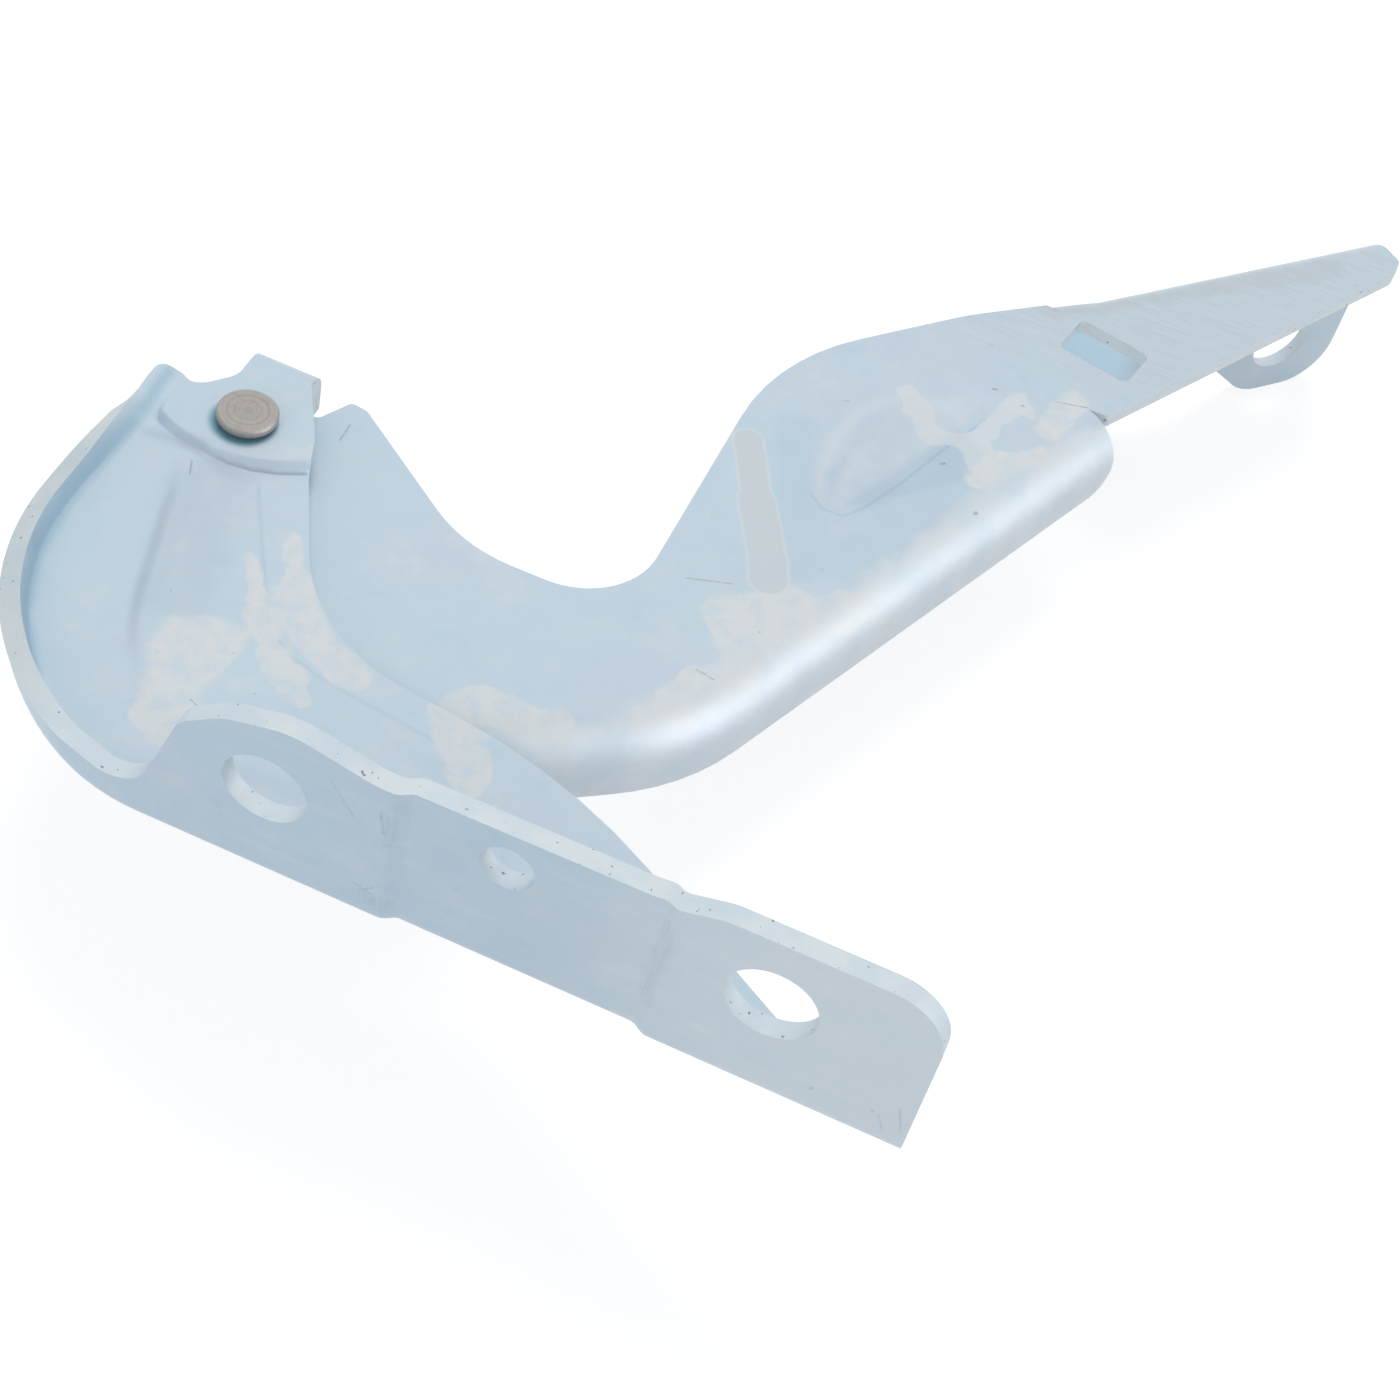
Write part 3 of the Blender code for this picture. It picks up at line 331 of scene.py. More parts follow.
class StudioSettings(bpy.types.PropertyGroup):
    lens: FloatProperty(
        name="Lens", description="Focal length on a 36 mm wide sensor", default=69.43, min=20.0, max=200.0)
    key: FloatProperty(
        name="Key light", description="Strength of the large light behind and above", default=56.0,
        min=0.0, max=500.0)
    fill: FloatProperty(
        name="Fill light", description="Strength of the light from the viewer's side", default=20.0,
        min=0.0, max=500.0)
    side: FloatProperty(
        name="Side light", description="Strength of the low light from the right, for highlights only",
        default=62.0, min=0.0, max=500.0)
    edge: FloatProperty(
        name="Edge light", description="Strength of the low plain light from the front right", default=1.5,
        min=0.0, max=500.0)
    ambient: FloatProperty(
        name="Ambient", description="Strength of the light from all round", default=0.5, min=0.0, max=3.0)
    floor_size: FloatProperty(
        name="Floor size", description="Side of the square floor", default=6.0, min=1.0, max=20.0,
        unit="LENGTH")


def select_only(piece):
    bpy.ops.object.select_all(action="DESELECT")
    piece.select_set(True)
    bpy.context.view_layer.objects.active = piece


def toned(colour, factor):
    """A colour with its channels multiplied, and none above 1."""
    return tuple(min(1.0, channel * factor) for channel in colour)


class Paint:
    """The nodes of one material, and the colour that is painted so far."""

    def __init__(self, name, colour):
        self.material = bpy.data.materials.new(name)
        self.material.use_nodes = True
        self.tree = self.material.node_tree
        self.shader = self.tree.nodes["Principled BSDF"]
        coordinates = self.tree.nodes.new("ShaderNodeTexCoord").outputs["Object"]
        moved = self.vector("SUBTRACT", coordinates, PATTERN_ORIGIN)
        self.place = self.vector("SCALE", moved, scale=1.0 / MM)
        split = self.tree.nodes.new("ShaderNodeSeparateXYZ")
        self.feed(split.inputs[0], self.place)
        self.x, self.y, self.z = split.outputs
        self.colour = colour

    def feed(self, socket, value):
        if isinstance(value, bpy.types.NodeSocket):
            self.tree.links.new(value, socket)
        elif value is not None:
            socket.default_value = value

    def vector(self, operation, first, second=None, scale=None, output=0):
        node = self.tree.nodes.new("ShaderNodeVectorMath")
        node.operation = operation
        self.feed(node.inputs[0], first)
        self.feed(node.inputs[1], second)
        if scale is not None:
            self.feed(node.inputs["Scale"], scale)
        return node.outputs[output]

    def number(self, operation, first, second):
        node = self.tree.nodes.new("ShaderNodeMath")
        node.operation = operation
        self.feed(node.inputs[0], first)
        self.feed(node.inputs[1], second)
        return node.outputs[0]

    def times(self, first, *others):
        for other in others:
            first = self.number("MULTIPLY", first, other)
        return first

    def larger(self, first, second):
        return self.number("MAXIMUM", first, second)

    def clamped(self, value):
        node = self.tree.nodes.new("ShaderNodeClamp")
        self.feed(node.inputs[0], value)
        return node.outputs[0]

    def combine(self, x, y, z):
        node = self.tree.nodes.new("ShaderNodeCombineXYZ")
        for socket, value in zip(node.inputs, (x, y, z)):
            self.feed(socket, value)
        return node.outputs[0]

    def between(self, value, low, high, start=0.0, end=1.0):
        """A smooth step from start to end as the value goes from low to high."""
        node = self.tree.nodes.new("ShaderNodeMapRange")
        node.interpolation_type = "SMOOTHSTEP"
        for socket, item in zip(node.inputs, (value, low, high, start, end)):
            self.feed(socket, item)
        return node.outputs[0]

    def noise(self, scale, detail=3.0, roughness=0.55, place=None, stretch=None, turn=0.0, output=0):
        """Noise with features about 1 / scale millimetres across."""
        place = self.place if place is None else place
        if stretch is not None:
            mapping = self.tree.nodes.new("ShaderNodeMapping")
            self.feed(mapping.inputs["Vector"], place)
            mapping.inputs["Rotation"].default_value = (0.0, 0.0, turn)
            mapping.inputs["Scale"].default_value = stretch
            place = mapping.outputs[0]
        node = self.tree.nodes.new("ShaderNodeTexNoise")
        self.feed(node.inputs["Vector"], place)
        node.inputs["Scale"].default_value = scale
        node.inputs["Detail"].default_value = detail
        node.inputs["Roughness"].default_value = roughness
        return node.outputs[output]

    def flatten(self, across, along):
        """A flat place from two coordinates, and the same place bent a little by noise."""
        flat = self.combine(across, along, 0.0)
        bends = []
        for scale, detail, reach in BENDS:
            noise = self.noise(scale, detail, output="Color")
            bends.append(self.vector("SCALE", self.vector("SUBTRACT", noise, NOISE_MIDDLE), scale=reach))
        level = self.vector("MULTIPLY", self.vector("ADD", *bends), (1.0, 1.0, 0.0))
        return flat, self.vector("ADD", flat, level)

    def distance(self, place, x, y, end_x, end_y):
        """How far the place is from the line between two points."""
        run = Vector((end_x - x, end_y - y, 0.0))
        from_start = self.vector("SUBTRACT", place, (x, y, 0.0))
        along = self.vector("DOT_PRODUCT", from_start, run, output=1)
        share = self.clamped(self.number("DIVIDE", along, run.length_squared))
        nearest = self.vector("SCALE", run, scale=share)
        return self.vector("LENGTH", self.vector("SUBTRACT", from_start, nearest), output=1)

    def strokes(self, place, lines, softness):
        """1 on the lines given as (x, y, x, y, radius) and 0 away from them."""
        total = None
        for *ends, radius in lines:
            distance = self.distance(place, *ends)
            mark = self.between(distance, radius + softness, max(radius - softness, 0.0))
            total = mark if total is None else self.larger(total, mark)
        return total

    def trail(self, place, points, radius, softness):
        """1 along the line through the points and 0 away from it."""
        lines = [(*start, *end, radius) for start, end in zip(points, points[1:])]
        return self.strokes(place, lines, softness)

    def blots(self, place, lines, softness):
        """Like strokes, but lines that are close flow together into one blot."""
        total = None
        for *ends, radius in lines:
            mark = self.between(self.distance(place, *ends), BLOT_REACH * radius, BLOT_CORE * radius)
            total = mark if total is None else self.number("ADD", total, mark)
        return self.between(total, 0.5 - softness, 0.5 + softness)

    def mix(self, share, first, second, blend="MIX"):
        node = self.tree.nodes.new("ShaderNodeMix")
        node.data_type = "RGBA"
        node.blend_type = blend
        self.feed(node.inputs[0], share)
        for socket, colour in zip(node.inputs[6:8], (first, second)):
            if not isinstance(colour, bpy.types.NodeSocket):
                colour = (*colour[:3], 1.0)
            self.feed(socket, colour)
        return node.outputs[2]

    def cover(self, share, colour):
        """Lays a colour over what is painted so far."""
        self.colour = self.mix(share, self.colour, colour)

    def tone(self, share, factors):
        """Multiplies what is painted so far by factors of red, green and blue."""
        self.colour = self.mix(share, self.colour, factors, "MULTIPLY")

    def bump(self, height, strength, distance, before=None):
        node = self.tree.nodes.new("ShaderNodeBump")
        node.inputs["Strength"].default_value = strength
        node.inputs["Distance"].default_value = distance
        self.feed(node.inputs["Height"], height)
        self.feed(node.inputs["Normal"], before)
        return node.outputs[0]

    def finish(self, roughness, metallic, normal):
        self.feed(self.shader.inputs["Base Color"], self.colour)
        self.feed(self.shader.inputs["Roughness"], roughness)
        self.feed(self.shader.inputs["Metallic"], metallic)
        self.feed(self.shader.inputs["Normal"], normal)
        return self.material


def paint_ground(paint, settings, cloud):
    """Clean plating with a lilac drift and with clouds of a paler and a deeper tone."""
    drift = paint.between(paint.noise(0.035, detail=2.0), 0.42, 0.68)
    paint.cover(paint.times(drift, 0.5), settings.tint)
    paint.cover(paint.between(cloud, 0.50, 0.74, end=0.30), settings.stain)
    paint.tone(paint.between(cloud, 0.48, 0.28, end=0.6), CLOUD_TONE)


def paint_stains(paint, settings, bent, stains):
    """Dull white stains with a fine grain. Gives their share."""
    grain = paint.between(paint.noise(0.28, detail=4.0, roughness=0.6), 0.34, 0.58, 0.42, 1.0)
    stain = paint.times(paint.blots(bent, stains, softness=0.24), grain)
    paint.cover(paint.times(stain, 0.9), settings.stain)
    return stain


def paint_dent(paint, settings, flat, bent):
    """The deeper blue of the arm's middle, the painted shade in the dent and along its lower edge, and a
    painted highlight on its left rim. Gives the dent's share.
    """
    paint.tone(paint.blots(bent, ARM_DEEP, softness=0.4), ARM_TONE)
    # Painted shade in the dent
    dent = paint.blots(flat, DENT_SHADE, softness=0.3)
    paint.tone(dent, DENT_SHADE_TONE)
    # Painted highlight on the dent's left rim, in the stain colour
    rim = paint.trail(flat, DENT_HIGHLIGHT, radius=0.8, softness=1.6)
    paint.cover(paint.times(rim, 0.32), settings.stain)
    # Painted shade along the dent's lower edge
    paint.tone(paint.trail(flat, DENT_EDGE, radius=0.12, softness=0.5), DENT_EDGE_SHADE)
    return dent


def paint_roll_highlight(paint, settings, bent, cloud):
    """A pale, patchy painted highlight along the rolled edge, with painted light on the faces below the arm's
    top there. Gives its share.
    """
    # Painted highlight along the rolled edge and painted light on the faces below it
    on_edge = paint.larger(paint.strokes(bent, ROLL_HIGHLIGHT, softness=2.2), paint.between(paint.z, *ROLL_HEIGHT))
    roll_highlight = paint.times(on_edge, paint.between(paint.y, *ROLL_END))
    patchy = paint.between(cloud, 0.40, 0.58, 0.62, 0.95)
    paint.cover(paint.times(roll_highlight, patchy), settings.wear_and_sheen)
    return roll_highlight


def paint_slot_face(paint):
    """The bonnet flange's inner face, which shows through the slot, paler as if lit from the floor."""
    start = paint.between(paint.y, *SLOT_FACE_START)
    end = paint.between(paint.y, *SLOT_FACE_END)
    height = paint.between(paint.z, *SLOT_FACE_HEIGHT)
    paint.tone(paint.times(start, end, height), SLOT_TONE)


def paint_streak(paint, settings, flat, bent):
    """The pale network beside the dent, and the grey streak with its pale outline."""
    paint.cover(paint.times(paint.blots(bent, ARM_BAND, softness=0.2), 0.6), settings.stain)
    outline = [(*ends, radius + STREAK_OUTLINE) for *ends, radius in ARM_STREAK]
    paint.cover(paint.times(paint.strokes(flat, outline, softness=0.4), 0.6), settings.stain)
    paint.cover(paint.times(paint.strokes(flat, ARM_STREAK, softness=0.3), 0.5), settings.streak)


def paint_strip(paint, settings, bent):
    """The top face of the strip that narrows to the tip, with its wear and its brushing."""
    brushed = paint.noise(1.0, detail=4.0, roughness=0.7, stretch=(0.10, 1.6, 1.0), turn=BRUSHING_TURN)
    on_top = paint.between(paint.z, *ARM_TOP)
    wear_and_sheen = paint.strokes(bent, STRIP_WEAR, softness=1.2)
    paint.cover(paint.times(wear_and_sheen, paint.between(brushed, 0.30, 0.62, 0.35, 1.0), on_top), settings.streak)
    on_strip = paint.times(paint.between(paint.y, *STRIP_START, end=0.6), on_top)
    paint.cover(paint.times(on_strip, paint.between(brushed, 0.35, 0.65)), settings.streak)


def paint_web_shade(paint, flat, bent):
    """Painted shade on the web: a lilac patch inside the panel's left crease, lines along its pressed forms
    and the shadow under the rivet's head.
    """
    # Painted shade inside the panel's left crease
    paint.tone(paint.blots(bent, BRACKET_WEB_SHADE, softness=0.5), WEB_SHADE_TONE)
    # Painted shade in the rim's inner bend
    paint.tone(paint.trail(flat, RIM_BEND, radius=0.7, softness=1.3), RIM_BEND_SHADE)
    # Painted shade along the panel's left crease
    middle = paint.times(paint.between(paint.y, *PANEL_START), paint.between(paint.y, *PANEL_END))
    panel_left_shade = paint.trail(flat, PANEL_LEFT, radius=0.1, softness=1.7)
    paint.tone(paint.times(panel_left_shade, middle), PANEL_LEFT_SHADE)
    # Painted shade along the panel's right crease
    paint.tone(paint.trail(flat, PANEL_RIGHT, radius=0.1, softness=0.6), PANEL_RIGHT_SHADE)
    # Painted shade under the pad's lower step
    pad_edge_shade = paint.trail(flat, PAD_EDGE, radius=0.1, softness=0.5)
    paint.tone(paint.times(pad_edge_shade, paint.between(paint.x, *PAD_EDGE_START)), PAD_EDGE_SHADE)
    # Painted shade beside the pad's left end
    paint.tone(paint.trail(flat, PAD_LEFT, radius=0.2, softness=2.0), PAD_LEFT_SHADE)
    paint.tone(paint.strokes(flat, RIVET_SHADOW, softness=0.9), RIVET_TONE)


def paint_flange(paint, settings):
    """The body flange's scuffs, drawing lines and paler free end. Gives its scratches' share."""
    flat, bent = paint.flatten(paint.x, paint.z)
    on_flange = paint.between(paint.y, *FLANGE_FACE)
    rubbed = paint.noise(1.1, detail=4.0, roughness=0.7, stretch=(1.6, 1.0, 0.12))
    scuffs = paint.strokes(bent, FLANGE_SCUFFS, softness=0.9)
    scuffs = paint.times(scuffs, on_flange, paint.between(rubbed, 0.40, 0.62, 0.05, 0.35))
    paint.cover(scuffs, toned(settings.streak, 0.75))
    drawn = paint.noise(0.5, detail=4.0, roughness=0.65, stretch=(0.12, 1.0, 0.9))
    paint.cover(paint.times(on_flange, paint.between(drawn, 0.45, 0.75, end=0.3)), settings.stain)
    paint.tone(paint.times(on_flange, paint.between(paint.x, *FLANGE_BLUE)), FLANGE_TONE)
    paint.cover(paint.times(on_flange, paint.between(paint.x, *FLANGE_PALE, end=0.4)), settings.stain)
    return paint.times(paint.strokes(flat, FLANGE_SCRATCHES, SCRATCH_SOFTNESS), on_flange, 0.5)


def finish_plating(paint, settings, matt, marks):
    """Broken scratches, dark specks and a fine grain, and the relief of them all."""
    roughness = paint.between(matt, 0.0, 1.0, settings.roughness, MATT)
    marks = paint.times(marks, paint.between(paint.noise(2.4, detail=2.0), 0.36, 0.55, 0.25, 1.0))
    specks = paint.between(paint.noise(0.55, detail=1.0), 0.80, 0.815, end=0.45)
    paint.cover(paint.times(paint.larger(marks, specks), 0.6), toned(settings.streak, 0.42))
    fine = paint.noise(4.5, detail=3.0, roughness=0.7)
    paint.cover(paint.between(fine, 0.35, 0.7, end=0.10), settings.stain)
    normal = paint.bump(paint.noise(0.06, detail=1.0), 0.25, 0.9 * MM)
    normal = paint.bump(fine, 0.10, 0.06 * MM, normal)
    normal = paint.bump(marks, 0.35, -0.06 * MM, normal)
    return paint.finish(roughness, settings.metallic, normal)


def make_bracket_plating(settings):
    """Blue zinc plating of the bracket, with its stains, its scuffed flange, its scratches and painted shade
    along its pressed forms and under the rivet's head.
    """
    paint = Paint("bracket_plating", settings.zinc)
    flat, bent = paint.flatten(paint.x, paint.y)
    paint_ground(paint, settings, paint.noise(0.12, detail=5.0, roughness=0.62))
    paint_web_shade(paint, flat, bent)
    stain = paint_stains(paint, settings, bent, BRACKET_STAINS)
    side_marks = paint_flange(paint, settings)
    marks = paint.larger(paint.strokes(flat, BRACKET_SCRATCHES, SCRATCH_SOFTNESS), side_marks)
    return finish_plating(paint, settings, stain, marks)


def make_arm_plating(settings):
    """Blue zinc plating of the arm, with its stains, its streak, the wear on its strip, its scratches,
    painted shade and a painted highlight on its dent, and a painted highlight along its rolled edge.
    """
    paint = Paint("arm_plating", settings.zinc)
    flat, bent = paint.flatten(paint.x, paint.y)
    cloud = paint.noise(0.12, detail=5.0, roughness=0.62)
    paint_ground(paint, settings, cloud)
    dent = paint_dent(paint, settings, flat, bent)
    # Painted highlight along the rolled edge
    roll_highlight = paint_roll_highlight(paint, settings, bent, cloud)
    paint_slot_face(paint)
    stain = paint_stains(paint, settings, bent, ARM_STAINS)
    paint_streak(paint, settings, flat, bent)
    paint_strip(paint, settings, bent)
    marks = paint.strokes(flat, ARM_SCRATCHES, SCRATCH_SOFTNESS)
    return finish_plating(paint, settings, paint.larger(stain, paint.larger(roll_highlight, dent)), marks)


def make_cut_edge(settings, plating, name):
    """The sheared edge of a sheet: paler, with shear lines across it and small dark nicks."""
    paint = Paint(name, settings.colour)
    shear = paint.noise(1.0, detail=3.0, roughness=0.6, stretch=(2.2, 2.2, 0.35))
    cloud = paint.noise(0.12, detail=3.0)
    paint.cover(paint.between(cloud, 0.35, 0.65, end=0.5), plating.zinc)
    paint.cover(paint.between(shear, 0.55, 0.75, end=0.35), plating.stain)
    paint.tone(paint.between(paint.x, *CUT_GREY), CUT_TONE)
    nicks = paint.between(paint.noise(1.0, detail=2.0, roughness=0.4), 0.715, 0.735)
    paint.cover(paint.times(nicks, 0.8), toned(plating.streak, 0.35))
    normal = paint.bump(shear, 0.22, 0.12 * MM)
    normal = paint.bump(nicks, 0.4, -0.10 * MM, normal)
    return paint.finish(paint.between(shear, 0.3, 0.7, 0.40, MATT), plating.metallic, normal)


def make_rivet_steel(settings):
    """Bare steel with the rings that the forming tool leaves round the rivet's axis."""
    steel = settings.steel
    dark = toned(steel, 0.66)
    paint = Paint("bare_rivet_steel", dark)
    radius = paint.vector("LENGTH", paint.combine(paint.x, paint.y, 0.0), output=1)
    wobble = paint.times(paint.noise(0.5, detail=2.0), 0.5)
    ringed = paint.combine(paint.number("ADD", radius, wobble), 0.0, 0.0)
    rings = paint.noise(2.6, detail=3.0, roughness=0.7, place=ringed)
    smudge = paint.noise(0.7, detail=4.0, roughness=0.65)
    paint.cover(paint.between(rings, 0.36, 0.64), toned(steel, 1.16))
    paint.cover(0.45, steel)
    brown = tuple(channel * factor for channel, factor in zip(steel, BROWN_TONE))
    paint.cover(paint.between(smudge, 0.5, 0.72, end=0.55), brown)
    centre = paint.between(radius, 0.85, 0.35, end=0.35)
    paint.cover(centre, dark)
    head_side = paint.between(radius, 5.1, 5.5, end=0.25)
    paint.cover(head_side, dark)
    normal = paint.bump(rings, 0.45, 0.16 * MM)
    normal = paint.bump(smudge, 0.18, 0.10 * MM, normal)
    return paint.finish(paint.between(smudge, 0.3, 0.7, 0.42, 0.58), 0.55, normal)


def make_turned_metal(name, base, roughness):
    """Plain turned metal for the bearing pieces, with fine rings and smudges."""
    paint = Paint(name, base)
    dark = toned(base, 0.7)
    radius = paint.vector("LENGTH", paint.combine(paint.x, paint.y, 0.0), output=1)
    rings = paint.noise(3.5, detail=2.0, place=paint.combine(radius, paint.z, 0.0))
    smudge = paint.noise(0.5, detail=4.0)
    paint.cover(paint.between(rings, 0.35, 0.65, end=0.5), dark)
    paint.cover(paint.between(smudge, 0.5, 0.7, end=0.4), dark)
    normal = paint.bump(rings, 0.25, 0.08 * MM)
    return paint.finish(paint.between(smudge, 0.3, 0.7, roughness, roughness + 0.15), 0.9, normal)


def copy_node(node_name, piece_name):
    """A copy of a CAD node with its loose triangles joined into clean faces."""
    bpy.ops.object.select_all(action="DESELECT")
    data = frame["nodes"][node_name].data.copy()
    data.materials.clear()
    piece = bpy.data.objects.new(piece_name, data)
    bpy.context.scene.collection.objects.link(piece)
    select_only(piece)
    bpy.ops.object.mode_set(mode="EDIT")
    bpy.ops.mesh.select_all(action="SELECT")
    bpy.ops.mesh.remove_doubles(threshold=MERGE_DISTANCE)
    bpy.ops.mesh.dissolve_limited(angle_limit=PLANE_ANGLE)
    bpy.ops.mesh.select_all(action="DESELECT")
    bpy.ops.object.mode_set(mode="OBJECT")
    return piece


def strip_faces(mesh, sheet):
    """Faces of the cut edges: the narrow runs between two sharp edges, one sheet thick."""
    work = bmesh.new()
    work.from_mesh(mesh)
    work.faces.ensure_lookup_table()
    seen = set()
    found = []
    for start in work.faces:
        if start.index in seen:
            continue
        seen.add(start.index)
        run, queue, border = [], [start], 0.0
        while queue:
            face = queue.pop()
            run.append(face)
            for edge in face.edges:
                if edge.calc_face_angle(0.0) > SHARP_ANGLE:
                    border += edge.calc_length()
                    continue
                for other in edge.link_faces:
                    if other.index not in seen:
                        seen.add(other.index)
                        queue.append(other)
        area = sum(face.calc_area() for face in run)
        if border > 0.0 and area / (border / 2.0) < CUT_WIDTH * sheet:
            found += [face.index for face in run]
    work.free()
    return found


def soften_edges(piece, width, segments, sharper_than, miter="MITER_SHARP"):
    """Bevels the edges that turn by more than an angle in degrees."""
    bpy.ops.object.modifier_add(type="BEVEL")
    soft = piece.modifiers[-1]
    soft.width = width
    soft.segments = segments
    soft.limit_method = "ANGLE"
    soft.angle_limit = math.radians(sharper_than)
    soft.miter_outer = miter
    bpy.ops.object.modifier_apply(modifier=soft.name)


def finish_pressing(piece, sheet, edges, plating_material, cut_material):
    """Marks the cut edges, softens all sharp edges and shades the piece."""
    for material in (plating_material, cut_material):
        piece.data.materials.append(material)
    select_only(piece)
    for index in strip_faces(piece.data, sheet):
        piece.data.polygons[index].material_index = 1
    soften_edges(piece, edges.rounding, segments=3, sharper_than=42.0, miter="MITER_ARC")
    bpy.ops.object.shade_smooth_by_angle(angle=math.radians(38.0))
    bpy.ops.object.modifier_add(type="WEIGHTED_NORMAL")
    weighted = piece.modifiers[-1]
    weighted.keep_sharp = True
    weighted.weight = 60
    bpy.ops.object.modifier_apply(modifier=weighted.name)


class HINGE_OT_bracket(bpy.types.Operator):
    """Finish the bracket: soft edges, cut edges and blue zinc plating"""
    bl_idname = "hinge.bracket"
    bl_label = "Finish Bracket"

    def execute(self, context):
        scene = context.scene
        plating = make_bracket_plating(scene.hinge_plating)
        cut = make_cut_edge(scene.hinge_edges, scene.hinge_plating, "bracket_cut_edge")
        piece = copy_node("body_bracket", "bracket_pressing")
        finish_pressing(piece, scene.hinge_edges.bracket_sheet, scene.hinge_edges, plating, cut)
        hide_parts("body_bracket")
        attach(piece, "bracket")
        return {"FINISHED"}


class HINGE_OT_arm(bpy.types.Operator):
    """Finish the gooseneck arm: soft edges, cut edges and blue zinc plating"""
    bl_idname = "hinge.arm"
    bl_label = "Finish Arm"

    def execute(self, context):
        scene = context.scene
        plating = make_arm_plating(scene.hinge_plating)
        cut = make_cut_edge(scene.hinge_edges, scene.hinge_plating, "arm_cut_edge")
        piece = copy_node("bonnet_arm", "arm_pressing")
        finish_pressing(piece, scene.hinge_edges.arm_sheet, scene.hinge_edges, plating, cut)
        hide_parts("bonnet_arm")
        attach(piece, "arm")
        return {"FINISHED"}


def select_cap(piece, side):
    """Selects, in edit mode, the flat end face of a turned piece: the upper one for 1, the lower for -1."""
    bpy.ops.mesh.select_all(action="DESELECT")
    work = bmesh.from_edit_mesh(piece.data)
    height = max(side * face.calc_center_median().z for face in work.faces)
    for face in work.faces:
        is_level = side * face.calc_center_median().z > height - CAP_LEVEL
        face.select_set(side * face.normal.z > CAP_FACING and is_level)
    bmesh.update_edit_mesh(piece.data)


def raise_cap(rise):
    """Extrudes the selected end face upwards."""
    bpy.ops.mesh.extrude_region_move(TRANSFORM_OT_translate={"value": (0.0, 0.0, rise)})


class HINGE_OT_rivet(bpy.types.Operator):
    """Model the rivet: factory head, shank and the head formed over the bracket"""
    bl_idname = "hinge.rivet"
    bl_label = "Model Rivet"

    def execute(self, context):
        settings = context.scene.hinge_rivet
        low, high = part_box("pivot_rivet")
        bpy.ops.object.select_all(action="DESELECT")
        bpy.ops.mesh.primitive_cylinder_add(
            vertices=settings.sides, radius=settings.foot_radius, depth=settings.foot_height,
            location=(PIVOT.x, PIVOT.y, low[2] + settings.foot_height / 2.0))
        piece = context.active_object
        piece.name = "rivet_formed"
        bpy.ops.object.transform_apply(location=True, rotation=True, scale=True)
        bpy.ops.object.mode_set(mode="EDIT")
        bpy.ops.mesh.select_mode(type="FACE")

        select_cap(piece, -1.0)
        for inset, rise in FOOT_STEPS:
            bpy.ops.mesh.inset(thickness=inset * MM, depth=rise * MM)

        select_cap(piece, 1.0)
        bpy.ops.mesh.inset(thickness=settings.foot_radius - settings.shank_radius, depth=0.0)
        head_base = high[2] - settings.head_height
        raise_cap(head_base - low[2] - settings.foot_height)
        radius = settings.shank_radius
        for new_radius, rise in self.head_profile(settings):
            raise_cap(rise)
            grow = new_radius / radius
            bpy.ops.transform.resize(value=(grow, grow, 1.0), center_override=(PIVOT.x, PIVOT.y, head_base))
            radius = new_radius
        bpy.ops.mesh.select_all(action="DESELECT")
        bpy.ops.object.mode_set(mode="OBJECT")
        soften_edges(piece, 0.12 * MM, segments=2, sharper_than=55.0)
        bpy.ops.object.shade_smooth_by_angle(angle=math.radians(40.0))
        piece.data.materials.append(make_rivet_steel(settings))
        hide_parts("pivot_rivet")
        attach(piece, "bracket")
        return {"FINISHED"}

    def head_profile(self, settings):
        """Steps of the formed head from its underside up, as (new radius, rise)."""
        side = (0.0, settings.head_height / MM - HEAD_WITHOUT_SIDE)
        steps = ((HEAD_FOOT_INSET, 0.0), *HEAD_FLARE, side, *HEAD_CROWN)
        return [(settings.head_radius - inset * MM, rise * MM) for inset, rise in steps]


class HINGE_OT_bearing(bpy.types.Operator):
    """Finish the bush and the thrust washer of the pivot"""
    bl_idname = "hinge.bearing"
    bl_label = "Finish Bearing"

    def execute(self, context):
        for node_name, piece_name, body, slot_name, base, roughness in BEARING_PIECES:
            piece = copy_node(node_name, piece_name)
            soften_edges(piece, 0.1 * MM, segments=2, sharper_than=40.0)
            bpy.ops.object.shade_smooth_by_angle(angle=math.radians(30.0))
            piece.data.materials.append(make_turned_metal(piece_name + "_metal", base, roughness))
            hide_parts(node_name)
            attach(piece, body)
        return {"FINISHED"}


def add_shader(tree, kind, colour, strength=None):
    node = tree.nodes.new(kind)
    node.inputs["Color"].default_value = colour
    if strength is not None:
        node.inputs["Strength"].default_value = strength
    return node


def show_two_ways(tree, output, plain, seen):
    """Shows one shader to the rays that see the surroundings and a plain one to those that light.

    A ray sees the surroundings from the camera, off metal and through glass."""
    path = tree.nodes.new("ShaderNodeLightPath")
    share = path.outputs["Is Camera Ray"]
    for name in ("Is Glossy Ray", "Is Transmission Ray"):
        node = tree.nodes.new("ShaderNodeMath")
        node.operation = "MAXIMUM"
        tree.links.new(share, node.inputs[0])
        tree.links.new(path.outputs[name], node.inputs[1])
        share = node.outputs[0]
    mixed = tree.nodes.new("ShaderNodeMixShader")
    for socket, value in zip(mixed.inputs, (share, plain.outputs[0], seen.outputs[0])):
        tree.links.new(value, socket)
    tree.links.new(mixed.outputs[0], output.inputs["Surface"])


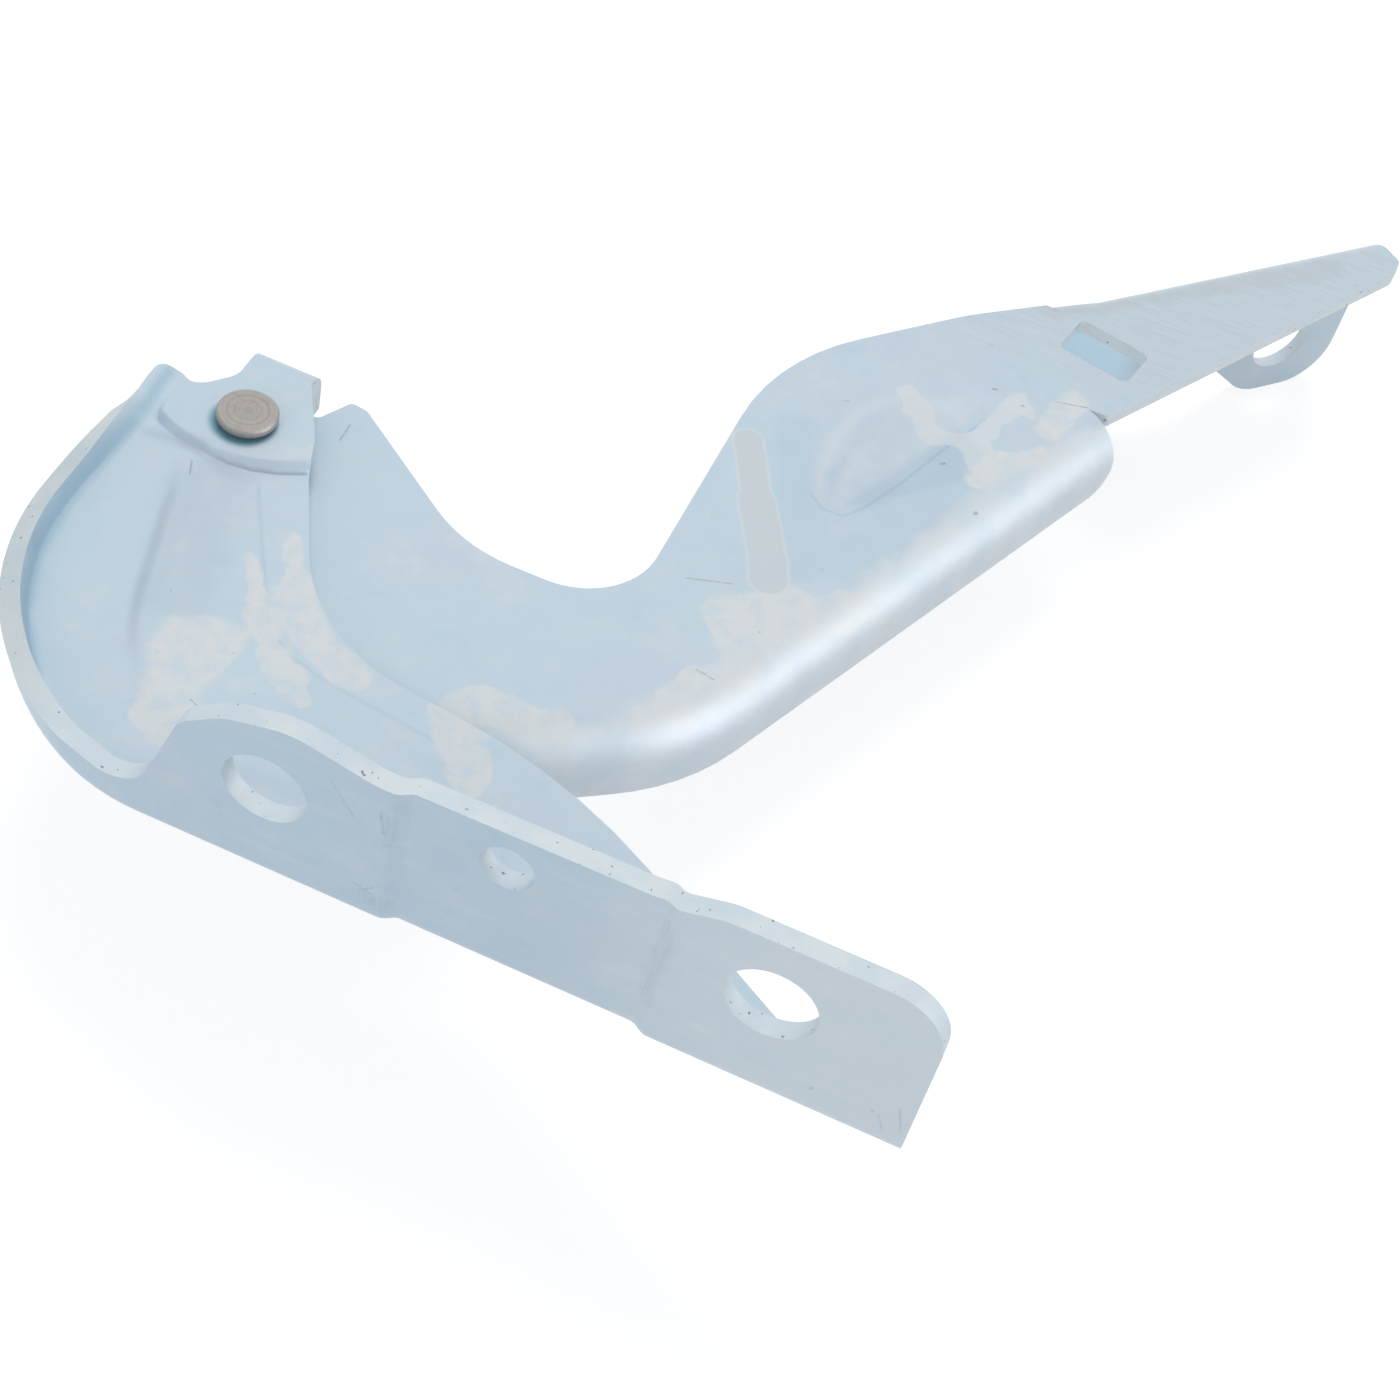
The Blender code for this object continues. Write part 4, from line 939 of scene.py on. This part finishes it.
def make_floor_material():
    """A pale floor that is white to the camera and keeps the object's soft shadow."""
    material = bpy.data.materials.new("studio_floor")
    material.use_nodes = True
    tree = material.node_tree
    tree.nodes.clear()
    output = tree.nodes.new("ShaderNodeOutputMaterial")
    shaded = add_shader(tree, "ShaderNodeBsdfDiffuse", FLOOR_SHADE)
    glow = add_shader(tree, "ShaderNodeEmission", WHITE, FLOOR_GLOW)
    both = tree.nodes.new("ShaderNodeAddShader")
    tree.links.new(shaded.outputs[0], both.inputs[0])
    tree.links.new(glow.outputs[0], both.inputs[1])
    plain = add_shader(tree, "ShaderNodeBsdfDiffuse", FLOOR_PLAIN)
    show_two_ways(tree, output, plain, both)
    return material


def make_world(settings):
    """White to the camera, and a plain even light for the object."""
    world = bpy.data.worlds.new("studio_world")
    world.use_nodes = True
    tree = world.node_tree
    tree.nodes.clear()
    output = tree.nodes.new("ShaderNodeOutputWorld")
    white = add_shader(tree, "ShaderNodeBackground", WHITE, 1.0)
    ambient = add_shader(tree, "ShaderNodeBackground", AMBIENT_COLOUR, settings.ambient)
    show_two_ways(tree, output, ambient, white)
    bpy.context.scene.world = world


def add_light(name, place, size, strength, colour, makes_highlight):
    """A square soft light turned towards the hinge, which makes either highlights or plain light."""
    aim = (LIGHT_TARGET - Vector(place)).to_track_quat("-Z", "Y").to_euler()
    bpy.ops.object.select_all(action="DESELECT")
    bpy.ops.object.light_add(type="AREA", location=place, rotation=aim)
    lamp = bpy.context.active_object
    lamp.name = name
    lamp.data.shape = "SQUARE"
    lamp.data.size = size
    lamp.data.energy = strength
    lamp.data.color = colour
    lamp.visible_glossy = makes_highlight
    lamp.visible_diffuse = not makes_highlight


def add_camera(lens):
    """The camera that the photograph was taken from."""
    bpy.ops.object.camera_add()
    camera = bpy.context.active_object
    camera.name = "photo_camera"
    camera.data.lens = lens
    camera.data.sensor_width = SENSOR_WIDTH
    camera.data.clip_start = 0.01
    camera.data.clip_end = 50.0
    turn = Matrix((CAMERA_RIGHT, -CAMERA_DOWN, -CAMERA_FORWARD)).transposed().to_4x4()
    camera.matrix_world = Matrix.Translation(PATTERN_ORIGIN + CAMERA_PLACE * MM) @ turn
    bpy.context.scene.camera = camera


class HINGE_OT_stage(bpy.types.Operator):
    """Build the floor, the lights and the camera"""
    bl_idname = "hinge.stage"
    bl_label = "Build Stage"

    def execute(self, context):
        settings = context.scene.hinge_studio
        bpy.ops.object.select_all(action="DESELECT")
        bpy.ops.mesh.primitive_plane_add(
            size=settings.floor_size, location=(*FLOOR_MIDDLE, CAD_BOX[0][2] - FLOOR_GAP))
        floor = context.active_object
        floor.name = "studio_floor"
        floor.data.materials.append(make_floor_material())
        make_world(settings)
        for name, place, size, colour, makes_highlight in LIGHTS:
            add_light(name + "_light", place, size, getattr(settings, name), colour, makes_highlight)
        add_camera(settings.lens)
        context.scene.view_settings.view_transform = "Standard"
        return {"FINISHED"}


class HINGE_PT_panel(bpy.types.Panel):
    """Sizes, colours and steps of the bonnet hinge"""
    bl_label = "Bonnet Hinge"
    bl_idname = "HINGE_PT_panel"
    bl_space_type = "VIEW_3D"
    bl_region_type = "UI"
    bl_category = "Hinge"

    def draw(self, context):
        scene = context.scene
        for group in (scene.hinge_plating, scene.hinge_edges, scene.hinge_rivet, scene.hinge_studio):
            box = self.layout.box()
            for name in group.bl_rna.properties.keys():
                if name not in ("rna_type", "name"):
                    box.prop(group, name)
        for step in STEPS:
            self.layout.operator(step.bl_idname)


GROUPS = (
    ("hinge_plating", PlatingSettings), ("hinge_edges", EdgeSettings), ("hinge_rivet", RivetSettings),
    ("hinge_studio", StudioSettings),
)
STEPS = (HINGE_OT_bracket, HINGE_OT_arm, HINGE_OT_rivet, HINGE_OT_bearing, HINGE_OT_stage)


def register():
    for name, group in GROUPS:
        bpy.utils.register_class(group)
        setattr(bpy.types.Scene, name, PointerProperty(type=group))
    for step in STEPS:
        bpy.utils.register_class(step)
    bpy.utils.register_class(HINGE_PT_panel)


def unregister():
    bpy.utils.unregister_class(HINGE_PT_panel)
    for step in reversed(STEPS):
        bpy.utils.unregister_class(step)
    for name, group in reversed(GROUPS):
        delattr(bpy.types.Scene, name)
        bpy.utils.unregister_class(group)


def main():
    register()
    bpy.ops.hinge.bracket()
    bpy.ops.hinge.arm()
    bpy.ops.hinge.rivet()
    bpy.ops.hinge.bearing()
    bpy.ops.hinge.stage()


if __name__ == "__main__":
    main()
